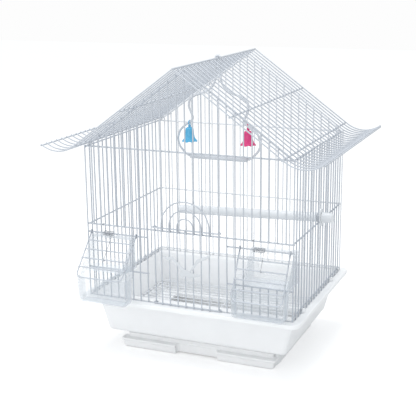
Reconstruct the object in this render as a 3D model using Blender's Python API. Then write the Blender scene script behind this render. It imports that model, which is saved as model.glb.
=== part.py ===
"""Roof top bird cage: wire panels on a tub with a slide-out tray, a gabled wire roof, a lifting
front door, two outside feeders with sprung flaps, a perch and a swing with two bells.
Metres, +Z up, front toward -Y, origin on the floor under the middle of the cabin."""

import math

import bmesh
import bpy
import numpy as np
from mathutils import Matrix, Vector

X_AXIS = Vector((1.0, 0.0, 0.0))
Y_AXIS = Vector((0.0, 1.0, 0.0))
Z_AXIS = Vector((0.0, 0.0, 1.0))

# Clearance between neighbouring pieces, and how far two welded wires sink into each other
GAP = 0.0003
WELD = 0.0005

# Cabin wires
HALF_WIDTH = 0.1545
HALF_DEPTH = 0.120
WIRE_R = 0.0010
BAR_R = 0.0012
BAR_DEPTH = WIRE_R + BAR_R - WELD
BAR_OVERRUN = 0.0008
FRONT_PITCH = 0.012
FRONT_COLUMNS = 25
FEEDER_POST = 6
BAR_POST = 8
SIDE_SPACES = 19
SQUARE = 4

# Heights
RIM_TOP = 0.088
GROOVE_DEPTH = 0.0032
SILL_BAR = 0.0863
SIDE_LOW_BAR = 0.092
FEEDER_BAR = 0.130
HINGE_BAR = 0.183
MIDDLE_BAR = 0.195
EAVE_BAR = 0.308
WALL_TOP = 0.3098

# Roof
ROOF_PITCH = math.radians(36.0)
RIDGE_HEIGHT = 0.424
RIDGE_R = 0.0014
ROOF_DEPTH = 0.312
RAFTERS = 24
RAFTER_STRAIGHT = 0.152
EAVE_RADIUS = 0.044
EAVE_STEPS = 4
EAVE_ROD_BACK = 0.0012
PURLINS = (0.079, 0.149)
UPRIGHT_PAST_GABLE = 0.0035

# Base tub: half sizes in X and Y, corner radius, height
RIM_OUTER = (0.1665, 0.134)
RIM_THICKNESS = 0.006
RIM_EDGE = 0.0012
RIM_RADIUS = 0.013
GROOVE_SIDE = WIRE_R + GAP
GROOVE_WIDTH = 0.0045
TUB_UNDER_RIM = (0.1512, 0.1068)
TUB_BOTTOM = (0.1382, 0.100)
TUB_BOTTOM_Z = 0.0276
TUB_FLOOR = 0.0024
TUB_WALL = 0.0024
TUB_RADIUS = 0.006
LEDGE = (0.131, 0.0915)
LEDGE_Z = 0.0415
FLOOR_OPENING = (0.104, 0.070)
CORNER_STEPS = 4

# Plinth under the tub
PLINTH = (0.119, 0.0855)
PLINTH_MIDDLE_Y = 0.0095
PLINTH_WALL = 0.0024
PLINTH_RADIUS = 0.006
RAIL_WIDTH = 0.005
RAIL_HEIGHT = 0.0016
MOUTH_HALF = 0.1155
MOUTH_TOP = 0.024
MOUTH_DEPTH = 0.012

# Slide tray
TRAY_SIDE_GAP = 0.0006
TRAY_WALL = 0.0016
TRAY_HEIGHT = 0.020
TRAY_END_GAP = 0.0016
TRAY_BEHIND_FRONT = 0.006
FRONT_LIP_HALF = 0.1218
FRONT_FOOT_HALF = 0.1175
FRONT_TOP = 0.0140
FRONT_BOTTOM = 0.0005
FRONT_FACE_Y = -0.093
FRONT_BACK_Y = -0.0765
FRONT_RADIUS = 0.003
RECESS_HALF = 0.033
RECESS_X = -0.0006
RECESS_DEPTH = 0.009
RECESS_BOTTOM = 0.004
RECESS_RADIUS = 0.006

# Floor grille
GRILLE_R = 0.0014
GRILLE_PITCH = 0.012
GRILLE_WIRES = 15
GRILLE_EDGE_GAP = 0.0008
GRILLE_RADIUS = 0.012

# Rim clips on the side panels
CLIP_Y = (-0.080, 0.062)
CLIP_WIDTH = 0.007
CLIP_THICKNESS = 0.0032
CLIP_HEIGHT = 0.005
CLIP_BEVEL = 0.0010

# Front door
DOOR_GUIDE_X = 0.048
DOOR_WIRES_X = (0.036, 0.024, 0.012)
DOOR_GUIDE_CLEAR = 0.0005
DOOR_BOTTOM = RIM_TOP + GAP + BAR_R
DOOR_TOP_BAR = 0.2004
DOOR_ARCH_BASE = 0.205
DOOR_ARCH_STEPS = 8
DOOR_CURL = math.radians(80.0)
DOOR_CURL_STEPS = 3

# Flying bird on the door: its outline in X and height, wings up, head to the left
BIRD_THICKNESS = 0.0018
BIRD_OUTLINE = (
    (-0.0342, 0.1621), (-0.0251, 0.1604), (-0.0184, 0.1624), (-0.0147, 0.1590), (-0.0076, 0.1520),
    (0.0007, 0.1454), (0.0073, 0.1436), (0.0123, 0.1520), (0.0181, 0.1619), (0.0256, 0.1651),
    (0.0339, 0.1689), (0.0397, 0.1728), (0.0381, 0.1682), (0.0322, 0.1635), (0.0248, 0.1603),
    (0.0190, 0.1553), (0.0131, 0.1473), (0.0090, 0.1426), (0.0148, 0.1405), (0.0231, 0.1410),
    (0.0231, 0.1383), (0.0148, 0.1360), (0.0073, 0.1338), (-0.0001, 0.1359), (-0.0035, 0.1330),
    (-0.0084, 0.1368), (-0.0076, 0.1399), (-0.0051, 0.1431), (-0.0101, 0.1488), (-0.0143, 0.1538),
    (-0.0184, 0.1572), (-0.0251, 0.1560), (-0.0309, 0.1593),
)

# Feeder cups: Y is counted from the front panel, outside negative; the hood clears one more upright
FEEDER_X = 0.114
CUP_X = 0.112
CUP_HALF = 0.0385
CUP_TAPER = 0.0015
CUP_WALL = 0.0016
CUP_RIM_Z = 0.130
CUP_FOOT_Y = -0.0240
CUP_FOOT_Z = 0.0915
CUP_BACK_Y = -0.0015
CUP_NECK_Z = FEEDER_BAR + BAR_R + GAP
CUP_NECK_STEP = 0.0125
CUP_OVERLAP = 0.0013
CUP_STEP = 0.0003
CUP_REAR_Y = 0.035
CUP_HOOD_Y = 0.0215
CUP_HOOD_TOP = 0.178
CUP_SHOULDER_Y = -0.014
CUP_OUT_LEFT = 0.0203
CUP_CUT_PAST = 0.020
WINDOW_HALF = 0.024
WINDOW_LOW = 0.139
WINDOW_TOP = 0.169
WINDOW_RADIUS = 0.008

# Feeder flaps
FLAP_LENGTH = 0.073
FLAP_HALF = 0.0357
FLAP_CORNER = 0.008
FLAP_CORNER_STEPS = 3
FLAP_CROSS = (0.0145, 0.0287, 0.0429, 0.0571)
FLAP_ANGLE_RIGHT = math.radians(29.0)
RING_CLEAR = 0.00035
RING_STEPS = 10

# Flap springs
SPRING_R = 0.0004
SPRING_COILS = 7
SPRING_POINTS = 8
SPRING_SIDES = 6
SPRING_MEAN_R = 0.0032
SPRING_LENGTH = 0.0158
SPRING_UPPER_Z = 0.198
SPRING_LEAST_GAP = 0.0004
SPRING_REACH_LEFT = 0.046
SPRING_REACH_RIGHT = 0.032

# Perch through the right panel
PERCH_R = 0.00675
PERCH_DROOP = math.radians(2.0)
PERCH_CENTRE_Z = MIDDLE_BAR + BAR_R + GAP + PERCH_R
PERCH_INNER_END = -0.221
PERCH_SHOULDER = -0.0016
PERCH_NECK_R = 0.0044
PERCH_NECK_END = 0.0130
PERCH_SIDES = 16
FLANGE_START = 0.0018
FLANGE_THICKNESS = 0.0020
FLANGE_HALF = (0.0075, 0.0128)
FLANGE_SIDES = 24
KNOB_LENGTH = 0.0160
KNOB_R = 0.0078
KNOB_TIP_R = 0.0060
KNOB_BORE_CLEAR = 0.0003

# Swing: half of its moulded frame in X and height, from the perch bar up to the hanger
SWING_FRAME_R = 0.0017
SWING_SIDES = 8
SWING_HALF = (
    (0.0385, 0.2790), (0.0460, 0.2792), (0.0510, 0.2812), (0.0562, 0.2860), (0.0617, 0.2925),
    (0.0643, 0.3000), (0.0643, 0.3075), (0.0600, 0.3180), (0.0510, 0.3260), (0.0435, 0.3305),
    (0.0405, 0.3360), (0.0430, 0.3435), (0.0465, 0.3520), (0.0450, 0.3620), (0.0367, 0.3690),
    (0.0240, 0.3735), (0.0130, 0.3795), (0.0062, 0.3880), (0.0038, 0.3990),
)
SWING_HOOK_STEPS = 6
SWING_BAR_R = 0.0038
SWING_BAR_HALF = 0.045
SWING_BORE_CLEAR = 0.0004
SWING_BORE_DEPTH = 0.0070

# Bells: place on the swing frame, and profile of radius and height below the hanging point
BELL_X = 0.046
BELL_HANG_Z = 0.3287
BELL_RING_R = 0.0034
BELL_RING_WIRE = 0.0007
BELL_RING_DROP = 0.0001
BELL_RING_STEPS = 12
BELL_SIDES = 14
BELL_OUTER = (
    (0.0015, -0.0032), (0.0015, -0.0056), (0.0034, -0.0059), (0.0056, -0.0082), (0.0062, -0.0125),
    (0.0068, -0.0185), (0.0085, -0.0235), (0.0118, -0.0279), (0.0120, -0.0285),
)
BELL_INNER = ((0.0108, -0.0285), (0.0073, -0.0236), (0.0056, -0.0183), (0.0049, -0.0125), (0.0040, -0.0085))
BELL_CROWN = -0.0076


def clear_scene():
    for obj in list(bpy.data.objects):
        bpy.data.objects.remove(obj, do_unlink=True)


def surface(name, colour, roughness, metallic=0.0, alpha=1.0):
    made = bpy.data.materials.new(name)
    made.use_nodes = True
    shader = made.node_tree.nodes["Principled BSDF"]
    shader.inputs["Base Color"].default_value = (*colour, 1.0)
    shader.inputs["Roughness"].default_value = roughness
    shader.inputs["Metallic"].default_value = metallic
    shader.inputs["Alpha"].default_value = alpha
    return made


def coated_wire(name):
    return surface(name, (0.86, 0.87, 0.88), 0.38)


def white_plastic(name):
    return surface(name, (0.90, 0.91, 0.92), 0.42)


def clear_plastic(name):
    return surface(name, (0.90, 0.92, 0.93), 0.12, alpha=0.35)


def spring_steel(name):
    return surface(name, (0.62, 0.63, 0.65), 0.30, metallic=1.0)


# Shape helpers
def tube(mesh, path, radius, sides, reference, closed=False):
    """Sweeps a regular polygon along the path with mitred bends. Its first corner points along the
    reference direction, so a square wire turns an edge to whatever it is welded to."""
    points = [Vector(point) for point in path]
    count = len(points)
    rings = []
    for index, point in enumerate(points):
        legs = []
        if closed or index:
            legs.append((point - points[index - 1]).normalized())
        if closed or index < count - 1:
            legs.append((points[(index + 1) % count] - point).normalized())
        along = sum(legs, Vector()).normalized()
        stretch = 1.0 / along.dot(legs[0])
        first = (reference - along * reference.dot(along)).normalized()
        second = along.cross(first) * stretch
        ring = []
        for corner in range(sides):
            turn = 2.0 * math.pi * corner / sides
            offset = first * math.cos(turn) + second * math.sin(turn)
            ring.append(mesh.verts.new(point + offset * radius))
        rings.append(ring)
    if closed:
        rings.append(rings[0])
    for ring, following in zip(rings, rings[1:]):
        for corner in range(sides):
            after = (corner + 1) % sides
            mesh.faces.new((ring[corner], ring[after], following[after], following[corner]))
    if not closed:
        mesh.faces.new(rings[0])
        mesh.faces.new(rings[-1])


def skin(mesh, loops, closed):
    """Joins equal loops of vertices with quads; an open skin gets a cap at each end."""
    ordered = loops + loops[:1] if closed else loops
    for loop, following in zip(ordered, ordered[1:]):
        for index in range(len(loop)):
            after = (index + 1) % len(loop)
            mesh.faces.new((loop[index], loop[after], following[after], following[index]))
    if not closed:
        mesh.faces.new(loops[0])
        mesh.faces.new(loops[-1])


def rounded_loop(mesh, half, radius, height, middle_y=0.0):
    """A rounded rectangle of vertices at one height."""
    corners = ((1, 1), (-1, 1), (-1, -1), (1, -1))
    loop = []
    for quarter, (side_x, side_y) in enumerate(corners):
        for step in range(CORNER_STEPS + 1):
            turn = (quarter + step / CORNER_STEPS) * math.pi / 2.0
            x = side_x * (half[0] - radius) + radius * math.cos(turn)
            y = side_y * (half[1] - radius) + radius * math.sin(turn) + middle_y
            loop.append(mesh.verts.new((x, y, height)))
    return loop


def turned(mesh, profile, sides, place):
    """Spins a profile of (radius, height) pairs about Z, then places it. A zero radius closes it."""
    rings = []
    for radius, height in profile:
        if radius == 0.0:
            rings.append([mesh.verts.new(place @ Vector((0.0, 0.0, height)))])
            continue
        ring = []
        for side in range(sides):
            turn = 2.0 * math.pi * side / sides
            ring.append(mesh.verts.new(place @ Vector((radius * math.cos(turn), radius * math.sin(turn), height))))
        rings.append(ring)
    for ring, following in zip(rings, rings[1:]):
        for side in range(sides):
            after = (side + 1) % sides
            corners = [ring[side % len(ring)], ring[after % len(ring)]]
            corners += [following[after % len(following)], following[side % len(following)]]
            mesh.faces.new(dict.fromkeys(corners))


def extruded(mesh, outline, offset):
    """A closed prism: the outline and its copy moved by the offset."""
    near = [mesh.verts.new(point) for point in outline]
    far = [mesh.verts.new(Vector(point) + offset) for point in outline]
    skin(mesh, [near, far], closed=False)


def block(mesh, low, high):
    corners = [(low[0], low[1]), (high[0], low[1]), (high[0], high[1]), (low[0], high[1])]
    extruded(mesh, [(x, y, low[2]) for x, y in corners], Z_AXIS * (high[2] - low[2]))


def rounded_outline(half, low, high, radius, steps=3):
    """Points of a rounded rectangle as (across, height) pairs."""
    middle = (low + high) / 2.0
    rise = (high - low) / 2.0
    points = []
    for quarter, (side_a, side_b) in enumerate(((1, 1), (-1, 1), (-1, -1), (1, -1))):
        for step in range(steps + 1):
            turn = (quarter + step / steps) * math.pi / 2.0
            across = side_a * (half - radius) + radius * math.cos(turn)
            points.append((across, middle + side_b * (rise - radius) + radius * math.sin(turn)))
    return points


def temporary(mesh):
    """A hidden helper object that holds the mesh."""
    bmesh.ops.recalc_face_normals(mesh, faces=mesh.faces[:])
    data = bpy.data.meshes.new("helper")
    mesh.to_mesh(data)
    mesh.free()
    obj = bpy.data.objects.new("helper", data)
    bpy.context.scene.collection.objects.link(obj)
    obj.hide_render = True
    obj.display_type = "WIRE"
    return obj


def combined(first, others, operation="UNION"):
    """Applies one exact Boolean for each further mesh and returns the result as a new bmesh."""
    base = temporary(first)
    helpers = [temporary(other) for other in others]
    for helper in helpers:
        modifier = base.modifiers.new("Join", "BOOLEAN")
        modifier.operation = operation
        modifier.solver = "EXACT"
        modifier.object = helper
    bpy.context.view_layer.update()
    graph = bpy.context.evaluated_depsgraph_get()
    result = bmesh.new()
    result.from_object(base, graph)
    for obj in [base] + helpers:
        bpy.data.objects.remove(obj, do_unlink=True)
    return result


def node(name, mesh, material, origin=(0.0, 0.0, 0.0), smooth=False):
    """Makes the named piece, with its own origin moved to a joint where it has one."""
    origin = Vector(origin)
    bmesh.ops.recalc_face_normals(mesh, faces=mesh.faces[:])
    if mesh.calc_volume(signed=True) < 0.0:
        bmesh.ops.reverse_faces(mesh, faces=mesh.faces[:])
    bmesh.ops.translate(mesh, verts=mesh.verts[:], vec=-origin)
    data = bpy.data.meshes.new(name)
    mesh.to_mesh(data)
    mesh.free()
    data.materials.append(material)
    obj = bpy.data.objects.new(name, data)
    bpy.context.scene.collection.objects.link(obj)
    obj.location = origin
    if smooth:
        data.shade_smooth()
        data.set_sharp_from_angle(angle=math.radians(40.0))
    return obj


# Wire panels
def column_x(column):
    """Place of a front upright; columns 0 and 26 are the corner posts."""
    if column == 0:
        return -HALF_WIDTH
    if column == FRONT_COLUMNS + 1:
        return HALF_WIDTH
    return (column - (FRONT_COLUMNS + 1) / 2) * FRONT_PITCH


def gable_drop():
    """How far a gable wire lies under the rafter line, straight down."""
    return (BAR_DEPTH + BAR_R + GAP + BAR_R) / math.cos(ROOF_PITCH)


def gable_z(across):
    return RIDGE_HEIGHT - gable_drop() - math.tan(ROOF_PITCH) * abs(across)


def upright_top(across):
    """Uprights end just past the gable wire; the middle one carries the ridge rod."""
    if abs(across) < WIRE_R:
        return RIDGE_HEIGHT - RIDGE_R - GAP
    return min(gable_z(across) + UPRIGHT_PAST_GABLE, RIDGE_HEIGHT)


def gable_panel(name, uprights, bars, facing):
    """A wall in the XZ plane. Facing is -1 at the front and 1 at the back; bars lie inside."""
    plane = facing * HALF_DEPTH
    inside = facing * (HALF_DEPTH - BAR_DEPTH)
    standing = bmesh.new()
    for across, low, high in uprights:
        tube(standing, [(across, plane, low), (across, plane, high)], WIRE_R, SQUARE, X_AXIS)
    lying = bmesh.new()
    for start, end, height in bars:
        tube(lying, [(start, inside, height), (end, inside, height)], BAR_R, SQUARE, Z_AXIS)
    gable = bmesh.new()
    line = [(across, inside, gable_z(across)) for across in (-HALF_WIDTH, 0.0, HALF_WIDTH)]
    tube(gable, line, BAR_R, SQUARE, Y_AXIS)
    node(name, combined(standing, [lying, gable]), coated_wire(name + "_wire"))


def front_panel():
    low = RIM_TOP - GROOVE_DEPTH + GAP
    past = BAR_OVERRUN
    uprights = []
    for column in range(FRONT_COLUMNS + 2):
        across = column_x(column)
        top = upright_top(across)
        at_feeder = abs(column_x(FEEDER_POST)) < abs(across) < HALF_WIDTH
        at_door = abs(across) < DOOR_GUIDE_X
        if at_feeder:
            uprights.append((across, low, FEEDER_BAR + BAR_OVERRUN))
        if at_feeder or at_door:
            uprights.append((across, MIDDLE_BAR - BAR_OVERRUN, top))
        else:
            uprights.append((across, low, top))
    end = HALF_WIDTH + BAR_OVERRUN
    bars = [(-end, end, height) for height in (SILL_BAR, MIDDLE_BAR, EAVE_BAR)]
    for side in (-1, 1):
        for height in (FEEDER_BAR, HINGE_BAR):
            bars.append((side * end, side * (abs(column_x(BAR_POST)) - past), height))
    gable_panel("front_panel", uprights, bars, -1)


def back_panel():
    low = RIM_TOP - GROOVE_DEPTH + GAP
    columns = [column_x(column) for column in range(FRONT_COLUMNS + 2)]
    uprights = [(across, low, upright_top(across)) for across in columns]
    end = HALF_WIDTH + BAR_OVERRUN
    bars = [(-end, end, height) for height in (SIDE_LOW_BAR, MIDDLE_BAR, EAVE_BAR)]
    gable_panel("back_panel", uprights, bars, 1)


def side_panel(name, side):
    """A side wall; its bars stop short of the bars of the front and back walls."""
    pitch = 2.0 * HALF_DEPTH / SIDE_SPACES
    standing = bmesh.new()
    for column in range(1, SIDE_SPACES):
        across = -HALF_DEPTH + column * pitch
        line = [(side * HALF_WIDTH, across, z) for z in (RIM_TOP - GROOVE_DEPTH + GAP, WALL_TOP)]
        tube(standing, line, WIRE_R, SQUARE, X_AXIS)
    lying = bmesh.new()
    inside = side * (HALF_WIDTH - BAR_DEPTH)
    end = HALF_DEPTH - BAR_DEPTH - BAR_R - GAP
    for height in (SIDE_LOW_BAR, MIDDLE_BAR, EAVE_BAR):
        tube(lying, [(inside, -end, height), (inside, end, height)], BAR_R, SQUARE, Z_AXIS)
    node(name, combined(standing, [lying]), coated_wire(name + "_wire"))


# Roof
def eave_centre():
    """Centre of the eave arc, in X and Z, on the right side."""
    foot = Vector((RAFTER_STRAIGHT, RIDGE_HEIGHT - RAFTER_STRAIGHT * math.tan(ROOF_PITCH)))
    return foot + EAVE_RADIUS * Vector((math.sin(ROOF_PITCH), math.cos(ROOF_PITCH)))


def rafter_line():
    """X and Z of one right-hand rafter: straight down the slope, then turned up at the eave."""
    start = RIDGE_R + GAP
    points = [Vector((start * math.cos(ROOF_PITCH), RIDGE_HEIGHT - start * math.sin(ROOF_PITCH)))]
    centre = eave_centre()
    for step in range(EAVE_STEPS + 1):
        turn = ROOF_PITCH * (2.0 * step / EAVE_STEPS - 1.0)
        points.append(centre + EAVE_RADIUS * Vector((math.sin(turn), -math.cos(turn))))
    return points


def roof_slope(name, side):
    rafters = bmesh.new()
    line = rafter_line()
    for count in range(RAFTERS):
        y = (count / (RAFTERS - 1) - 0.5) * (ROOF_DEPTH - 2.0 * WIRE_R)
        tube(rafters, [(side * point.x, y, point.y) for point in line], WIRE_R, SQUARE, Y_AXIS)
    rods = bmesh.new()
    under = Vector((-math.sin(ROOF_PITCH), -math.cos(ROOF_PITCH))) * BAR_DEPTH
    seats = []
    for offset in PURLINS:
        foot = Vector((offset, RIDGE_HEIGHT - offset * math.tan(ROOF_PITCH)))
        seats.append((foot + under, -under))
    turn = ROOF_PITCH - EAVE_ROD_BACK / EAVE_RADIUS
    tip = Vector((math.sin(turn), -math.cos(turn)))
    seats.append((eave_centre() + tip * (EAVE_RADIUS + BAR_DEPTH), -tip))
    end = ROOF_DEPTH / 2.0 + BAR_OVERRUN - WIRE_R
    for place, normal in seats:
        ends = [(side * place.x, y, place.y) for y in (-end, end)]
        tube(rods, ends, BAR_R, SQUARE, Vector((side * normal.x, 0.0, normal.y)))
    node(name, combined(rafters, [rods]), coated_wire(name + "_wire"))


def ridge_rod():
    rod = bmesh.new()
    end = ROOF_DEPTH / 2.0
    tube(rod, [(0.0, -end, RIDGE_HEIGHT), (0.0, end, RIDGE_HEIGHT)], RIDGE_R, 8, Z_AXIS)
    node("ridge_rod", rod, coated_wire("ridge_rod_wire"), smooth=True)


# Base
def inset(half, amount):
    return (half[0] - amount, half[1] - amount)


def tub_ring():
    """The tub as one ring of rounded loops: rim, outside, underside, floor, ledge, inside, groove."""
    wires = (HALF_WIDTH, HALF_DEPTH)
    groove_out = inset(wires, -GROOVE_SIDE)
    groove_in = inset(groove_out, GROOVE_WIDTH)
    rim_bottom = RIM_TOP - RIM_THICKNESS
    slope = (TUB_UNDER_RIM[0] - TUB_BOTTOM[0]) / (rim_bottom - TUB_BOTTOM_Z)
    ledge_out = (TUB_BOTTOM[0] - TUB_WALL + slope * (LEDGE_Z - TUB_BOTTOM_Z), TUB_BOTTOM[1] - TUB_WALL)
    ring = bmesh.new()
    sections = (
        (groove_out, 0.0015, RIM_TOP),
        (inset(RIM_OUTER, RIM_EDGE), RIM_RADIUS - RIM_EDGE, RIM_TOP),
        (RIM_OUTER, RIM_RADIUS, RIM_TOP - RIM_EDGE),
        (RIM_OUTER, RIM_RADIUS, rim_bottom),
        (TUB_UNDER_RIM, TUB_RADIUS, rim_bottom),
        (inset(TUB_BOTTOM, -0.0006), TUB_RADIUS, TUB_BOTTOM_Z + 0.0020),
        (inset(TUB_BOTTOM, 0.0014), TUB_RADIUS - 0.0014, TUB_BOTTOM_Z),
        (FLOOR_OPENING, TUB_RADIUS / 2, TUB_BOTTOM_Z),
        (FLOOR_OPENING, TUB_RADIUS / 2, TUB_BOTTOM_Z + TUB_FLOOR),
        (LEDGE, TUB_RADIUS / 2, TUB_BOTTOM_Z + TUB_FLOOR),
        (LEDGE, TUB_RADIUS / 2, LEDGE_Z),
        (ledge_out, TUB_RADIUS - TUB_WALL, LEDGE_Z),
        (inset(TUB_UNDER_RIM, TUB_WALL), TUB_RADIUS - TUB_WALL, RIM_TOP),
        (groove_in, 0.0015, RIM_TOP),
        (groove_in, 0.0015, RIM_TOP - GROOVE_DEPTH),
        (groove_out, 0.0015, RIM_TOP - GROOVE_DEPTH),
    )
    skin(ring, [rounded_loop(ring, half, radius, z) for half, radius, z in sections], closed=True)
    return ring


def plinth_ring():
    """Low wall under the tub with an inner rail along its foot that carries the tray."""
    inner = inset(PLINTH, PLINTH_WALL)
    rail = inset(inner, RAIL_WIDTH)
    top = TUB_BOTTOM_Z + TUB_FLOOR / 2.0
    sections = (
        (PLINTH, PLINTH_RADIUS, 0.0),
        (PLINTH, PLINTH_RADIUS, top),
        (inner, PLINTH_RADIUS - PLINTH_WALL, top),
        (inner, PLINTH_RADIUS - PLINTH_WALL, RAIL_HEIGHT),
        (rail, PLINTH_RADIUS - PLINTH_WALL, RAIL_HEIGHT),
        (rail, PLINTH_RADIUS - PLINTH_WALL, 0.0),
    )
    ring = bmesh.new()
    loops = [rounded_loop(ring, half, radius, z, PLINTH_MIDDLE_Y) for half, radius, z in sections]
    skin(ring, loops, closed=True)
    return ring


def base_pan():
    joined = combined(tub_ring(), [plinth_ring()])
    mouth = bmesh.new()
    front = PLINTH_MIDDLE_Y - PLINTH[1]
    block(mouth, (-MOUTH_HALF, front - MOUTH_DEPTH, -0.002), (MOUTH_HALF, front + MOUTH_DEPTH, MOUTH_TOP))
    node("base_pan", combined(joined, [mouth], "DIFFERENCE"), white_plastic("base_plastic"))


def slide_tray():
    """Open box behind a tapered front with a finger recess."""
    back = PLINTH_MIDDLE_Y + PLINTH[1] - PLINTH_WALL - TRAY_END_GAP
    start = FRONT_BACK_Y - TRAY_BEHIND_FRONT
    half_y = (back - start) / 2.0
    middle = (back + start) / 2.0
    half = (MOUTH_HALF - TRAY_SIDE_GAP, half_y)
    low = RAIL_HEIGHT + GAP
    inner = inset(half, TRAY_WALL)
    box = bmesh.new()
    sections = ((half, 0.004, low), (half, 0.004, TRAY_HEIGHT), (inner, 0.0024, TRAY_HEIGHT))
    sections += ((inner, 0.0024, low + TRAY_WALL),)
    skin(box, [rounded_loop(box, size, radius, z, middle) for size, radius, z in sections], closed=False)
    front = bmesh.new()
    face_half = (FRONT_BACK_Y - FRONT_FACE_Y) / 2.0
    face_middle = (FRONT_BACK_Y + FRONT_FACE_Y) / 2.0
    foot = rounded_loop(front, (FRONT_FOOT_HALF, face_half - 0.0012), FRONT_RADIUS, FRONT_BOTTOM, face_middle + 0.0012)
    lip = rounded_loop(front, (FRONT_LIP_HALF, face_half), FRONT_RADIUS, FRONT_TOP - 0.0015, face_middle)
    top = rounded_loop(front, (FRONT_LIP_HALF, face_half), FRONT_RADIUS, FRONT_TOP, face_middle)
    skin(front, [foot, lip, top], closed=False)
    recess = bmesh.new()
    outline = rounded_outline(RECESS_HALF, FRONT_BOTTOM - RECESS_RADIUS, FRONT_TOP + RECESS_RADIUS, RECESS_RADIUS)
    start = FRONT_FACE_Y - RECESS_DEPTH
    points = [(RECESS_X + across, start, height) for across, height in outline]
    extruded(recess, points, Y_AXIS * 2.0 * RECESS_DEPTH)
    scoop = bmesh.new()
    block(
        scoop,
        (RECESS_X - RECESS_HALF, FRONT_FACE_Y - RECESS_DEPTH, FRONT_BOTTOM - RECESS_BOTTOM),
        (RECESS_X + RECESS_HALF, start + TRAY_BEHIND_FRONT + 2.0 * RECESS_DEPTH, FRONT_BOTTOM + RECESS_BOTTOM / 2.0),
    )
    face = combined(front, [recess, scoop], "DIFFERENCE")
    node("slide_tray", combined(box, [face]), white_plastic("tray_plastic"))


def floor_grille():
    """Frame on the ledge of the tub, wires from side to side, one wire under them."""
    slope = (TUB_UNDER_RIM[0] - TUB_BOTTOM[0]) / (RIM_TOP - RIM_THICKNESS - TUB_BOTTOM_Z)
    room = (TUB_BOTTOM[0] - TUB_WALL + slope * (LEDGE_Z - TUB_BOTTOM_Z), TUB_BOTTOM[1] - TUB_WALL)
    half = inset(room, GRILLE_R + GRILLE_EDGE_GAP)
    height = LEDGE_Z + GAP + GRILLE_R
    scratch = bmesh.new()
    frame = [vert.co.copy() for vert in rounded_loop(scratch, half, GRILLE_RADIUS, height)]
    scratch.free()
    outer = bmesh.new()
    tube(outer, frame, GRILLE_R, SQUARE, Z_AXIS, closed=True)
    wires = bmesh.new()
    top = height + GRILLE_R + WIRE_R - WELD
    end = half[0] + BAR_OVERRUN
    for count in range(GRILLE_WIRES):
        y = (count - (GRILLE_WIRES - 1) / 2) * GRILLE_PITCH
        tube(wires, [(-end, y, top), (end, y, top)], WIRE_R, SQUARE, Z_AXIS)
    cross = bmesh.new()
    tube(cross, [(0.0, -half[1], height), (0.0, half[1], height)], GRILLE_R, SQUARE, Z_AXIS)
    node("floor_grille", combined(outer, [wires, cross]), coated_wire("grille_wire"))


def rim_clips():
    """Four moulded tabs that hold the side walls in the groove."""
    for side, side_name in ((-1, "left"), (1, "right")):
        for y, place in zip(CLIP_Y, ("front", "rear")):
            clip = bmesh.new()
            start = HALF_WIDTH + WIRE_R + GAP
            low = (side * start, y - CLIP_WIDTH / 2.0, RIM_TOP + GAP)
            high = (side * (start + CLIP_THICKNESS), y + CLIP_WIDTH / 2.0, RIM_TOP + GAP + CLIP_HEIGHT)
            block(clip, low, high)
            upper = [edge for edge in clip.edges if all(v.co.z > high[2] - GAP for v in edge.verts)]
            bmesh.ops.bevel(clip, geom=upper, offset=CLIP_BEVEL, segments=2, profile=0.5, affect="EDGES")
            name = f"rim_clip_{side_name}_{place}"
            node(name, clip, white_plastic(name + "_plastic"))


# Door
def door_rod(mesh, height):
    """A cross rod whose ends curl round the outside of the two guide uprights."""
    reach = WIRE_R + DOOR_GUIDE_CLEAR + BAR_R
    points = []
    for step in range(DOOR_CURL_STEPS + 1):
        turn = DOOR_CURL * (1.0 - step / DOOR_CURL_STEPS)
        x = DOOR_GUIDE_X + reach * math.sin(turn)
        points.append((x, -HALF_DEPTH - reach * math.cos(turn), height))
    line = points + [(-x, y, z) for x, y, z in reversed(points)]
    tube(mesh, line, BAR_R, SQUARE, Z_AXIS)


def door_wire_y():
    return -HALF_DEPTH - WIRE_R - DOOR_GUIDE_CLEAR - BAR_R - BAR_DEPTH


def front_door():
    rods = bmesh.new()
    door_rod(rods, DOOR_BOTTOM)
    door_rod(rods, DOOR_TOP_BAR)
    wires = bmesh.new()
    y = door_wire_y()
    foot = RIM_TOP + GAP
    tube(wires, [(0.0, y, foot), (0.0, y, DOOR_TOP_BAR + BAR_OVERRUN)], WIRE_R, SQUARE, X_AXIS)
    for across in DOOR_WIRES_X:
        line = [(across, y, foot)]
        for step in range(DOOR_ARCH_STEPS + 1):
            turn = math.pi * step / DOOR_ARCH_STEPS
            line.append((across * math.cos(turn), y, DOOR_ARCH_BASE + across * math.sin(turn)))
        line.append((-across, y, foot))
        tube(wires, line, WIRE_R, SQUARE, Y_AXIS)
    origin = (0.0, y, DOOR_BOTTOM)
    node("front_door", combined(wires, [rods]), coated_wire("door_wire"), origin)


def door_ornament():
    y = door_wire_y() - WIRE_R - GAP
    bird = bmesh.new()
    extruded(bird, [(x, y, z) for x, z in BIRD_OUTLINE], -Y_AXIS * BIRD_THICKNESS)
    origin = (0.0, door_wire_y(), DOOR_BOTTOM)
    node("door_ornament", bird, white_plastic("ornament_plastic"), origin)


# Feeders
def hinge_y():
    return -HALF_DEPTH + BAR_DEPTH


def flap_under():
    """Distance from the middle plane of a flap to whatever it lies on."""
    return WIRE_R + GAP


def cup_rim_y():
    """Outer edge of a cup's front rim, in Y from the front panel, that just carries the right flap."""
    drop = HINGE_BAR - CUP_RIM_Z
    plane = drop * math.tan(FLAP_ANGLE_RIGHT) - flap_under() / math.cos(FLAP_ANGLE_RIGHT) - GAP
    return BAR_DEPTH - plane


def flap_angle_left():
    """The left flap lies on the rim of its cup, which stands out by CUP_OUT_LEFT."""
    drop = HINGE_BAR - CUP_RIM_Z
    out = BAR_DEPTH - cup_rim_y() + CUP_OUT_LEFT
    return math.atan2(out, drop) + math.asin((flap_under() + GAP) / math.hypot(out, drop))


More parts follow.
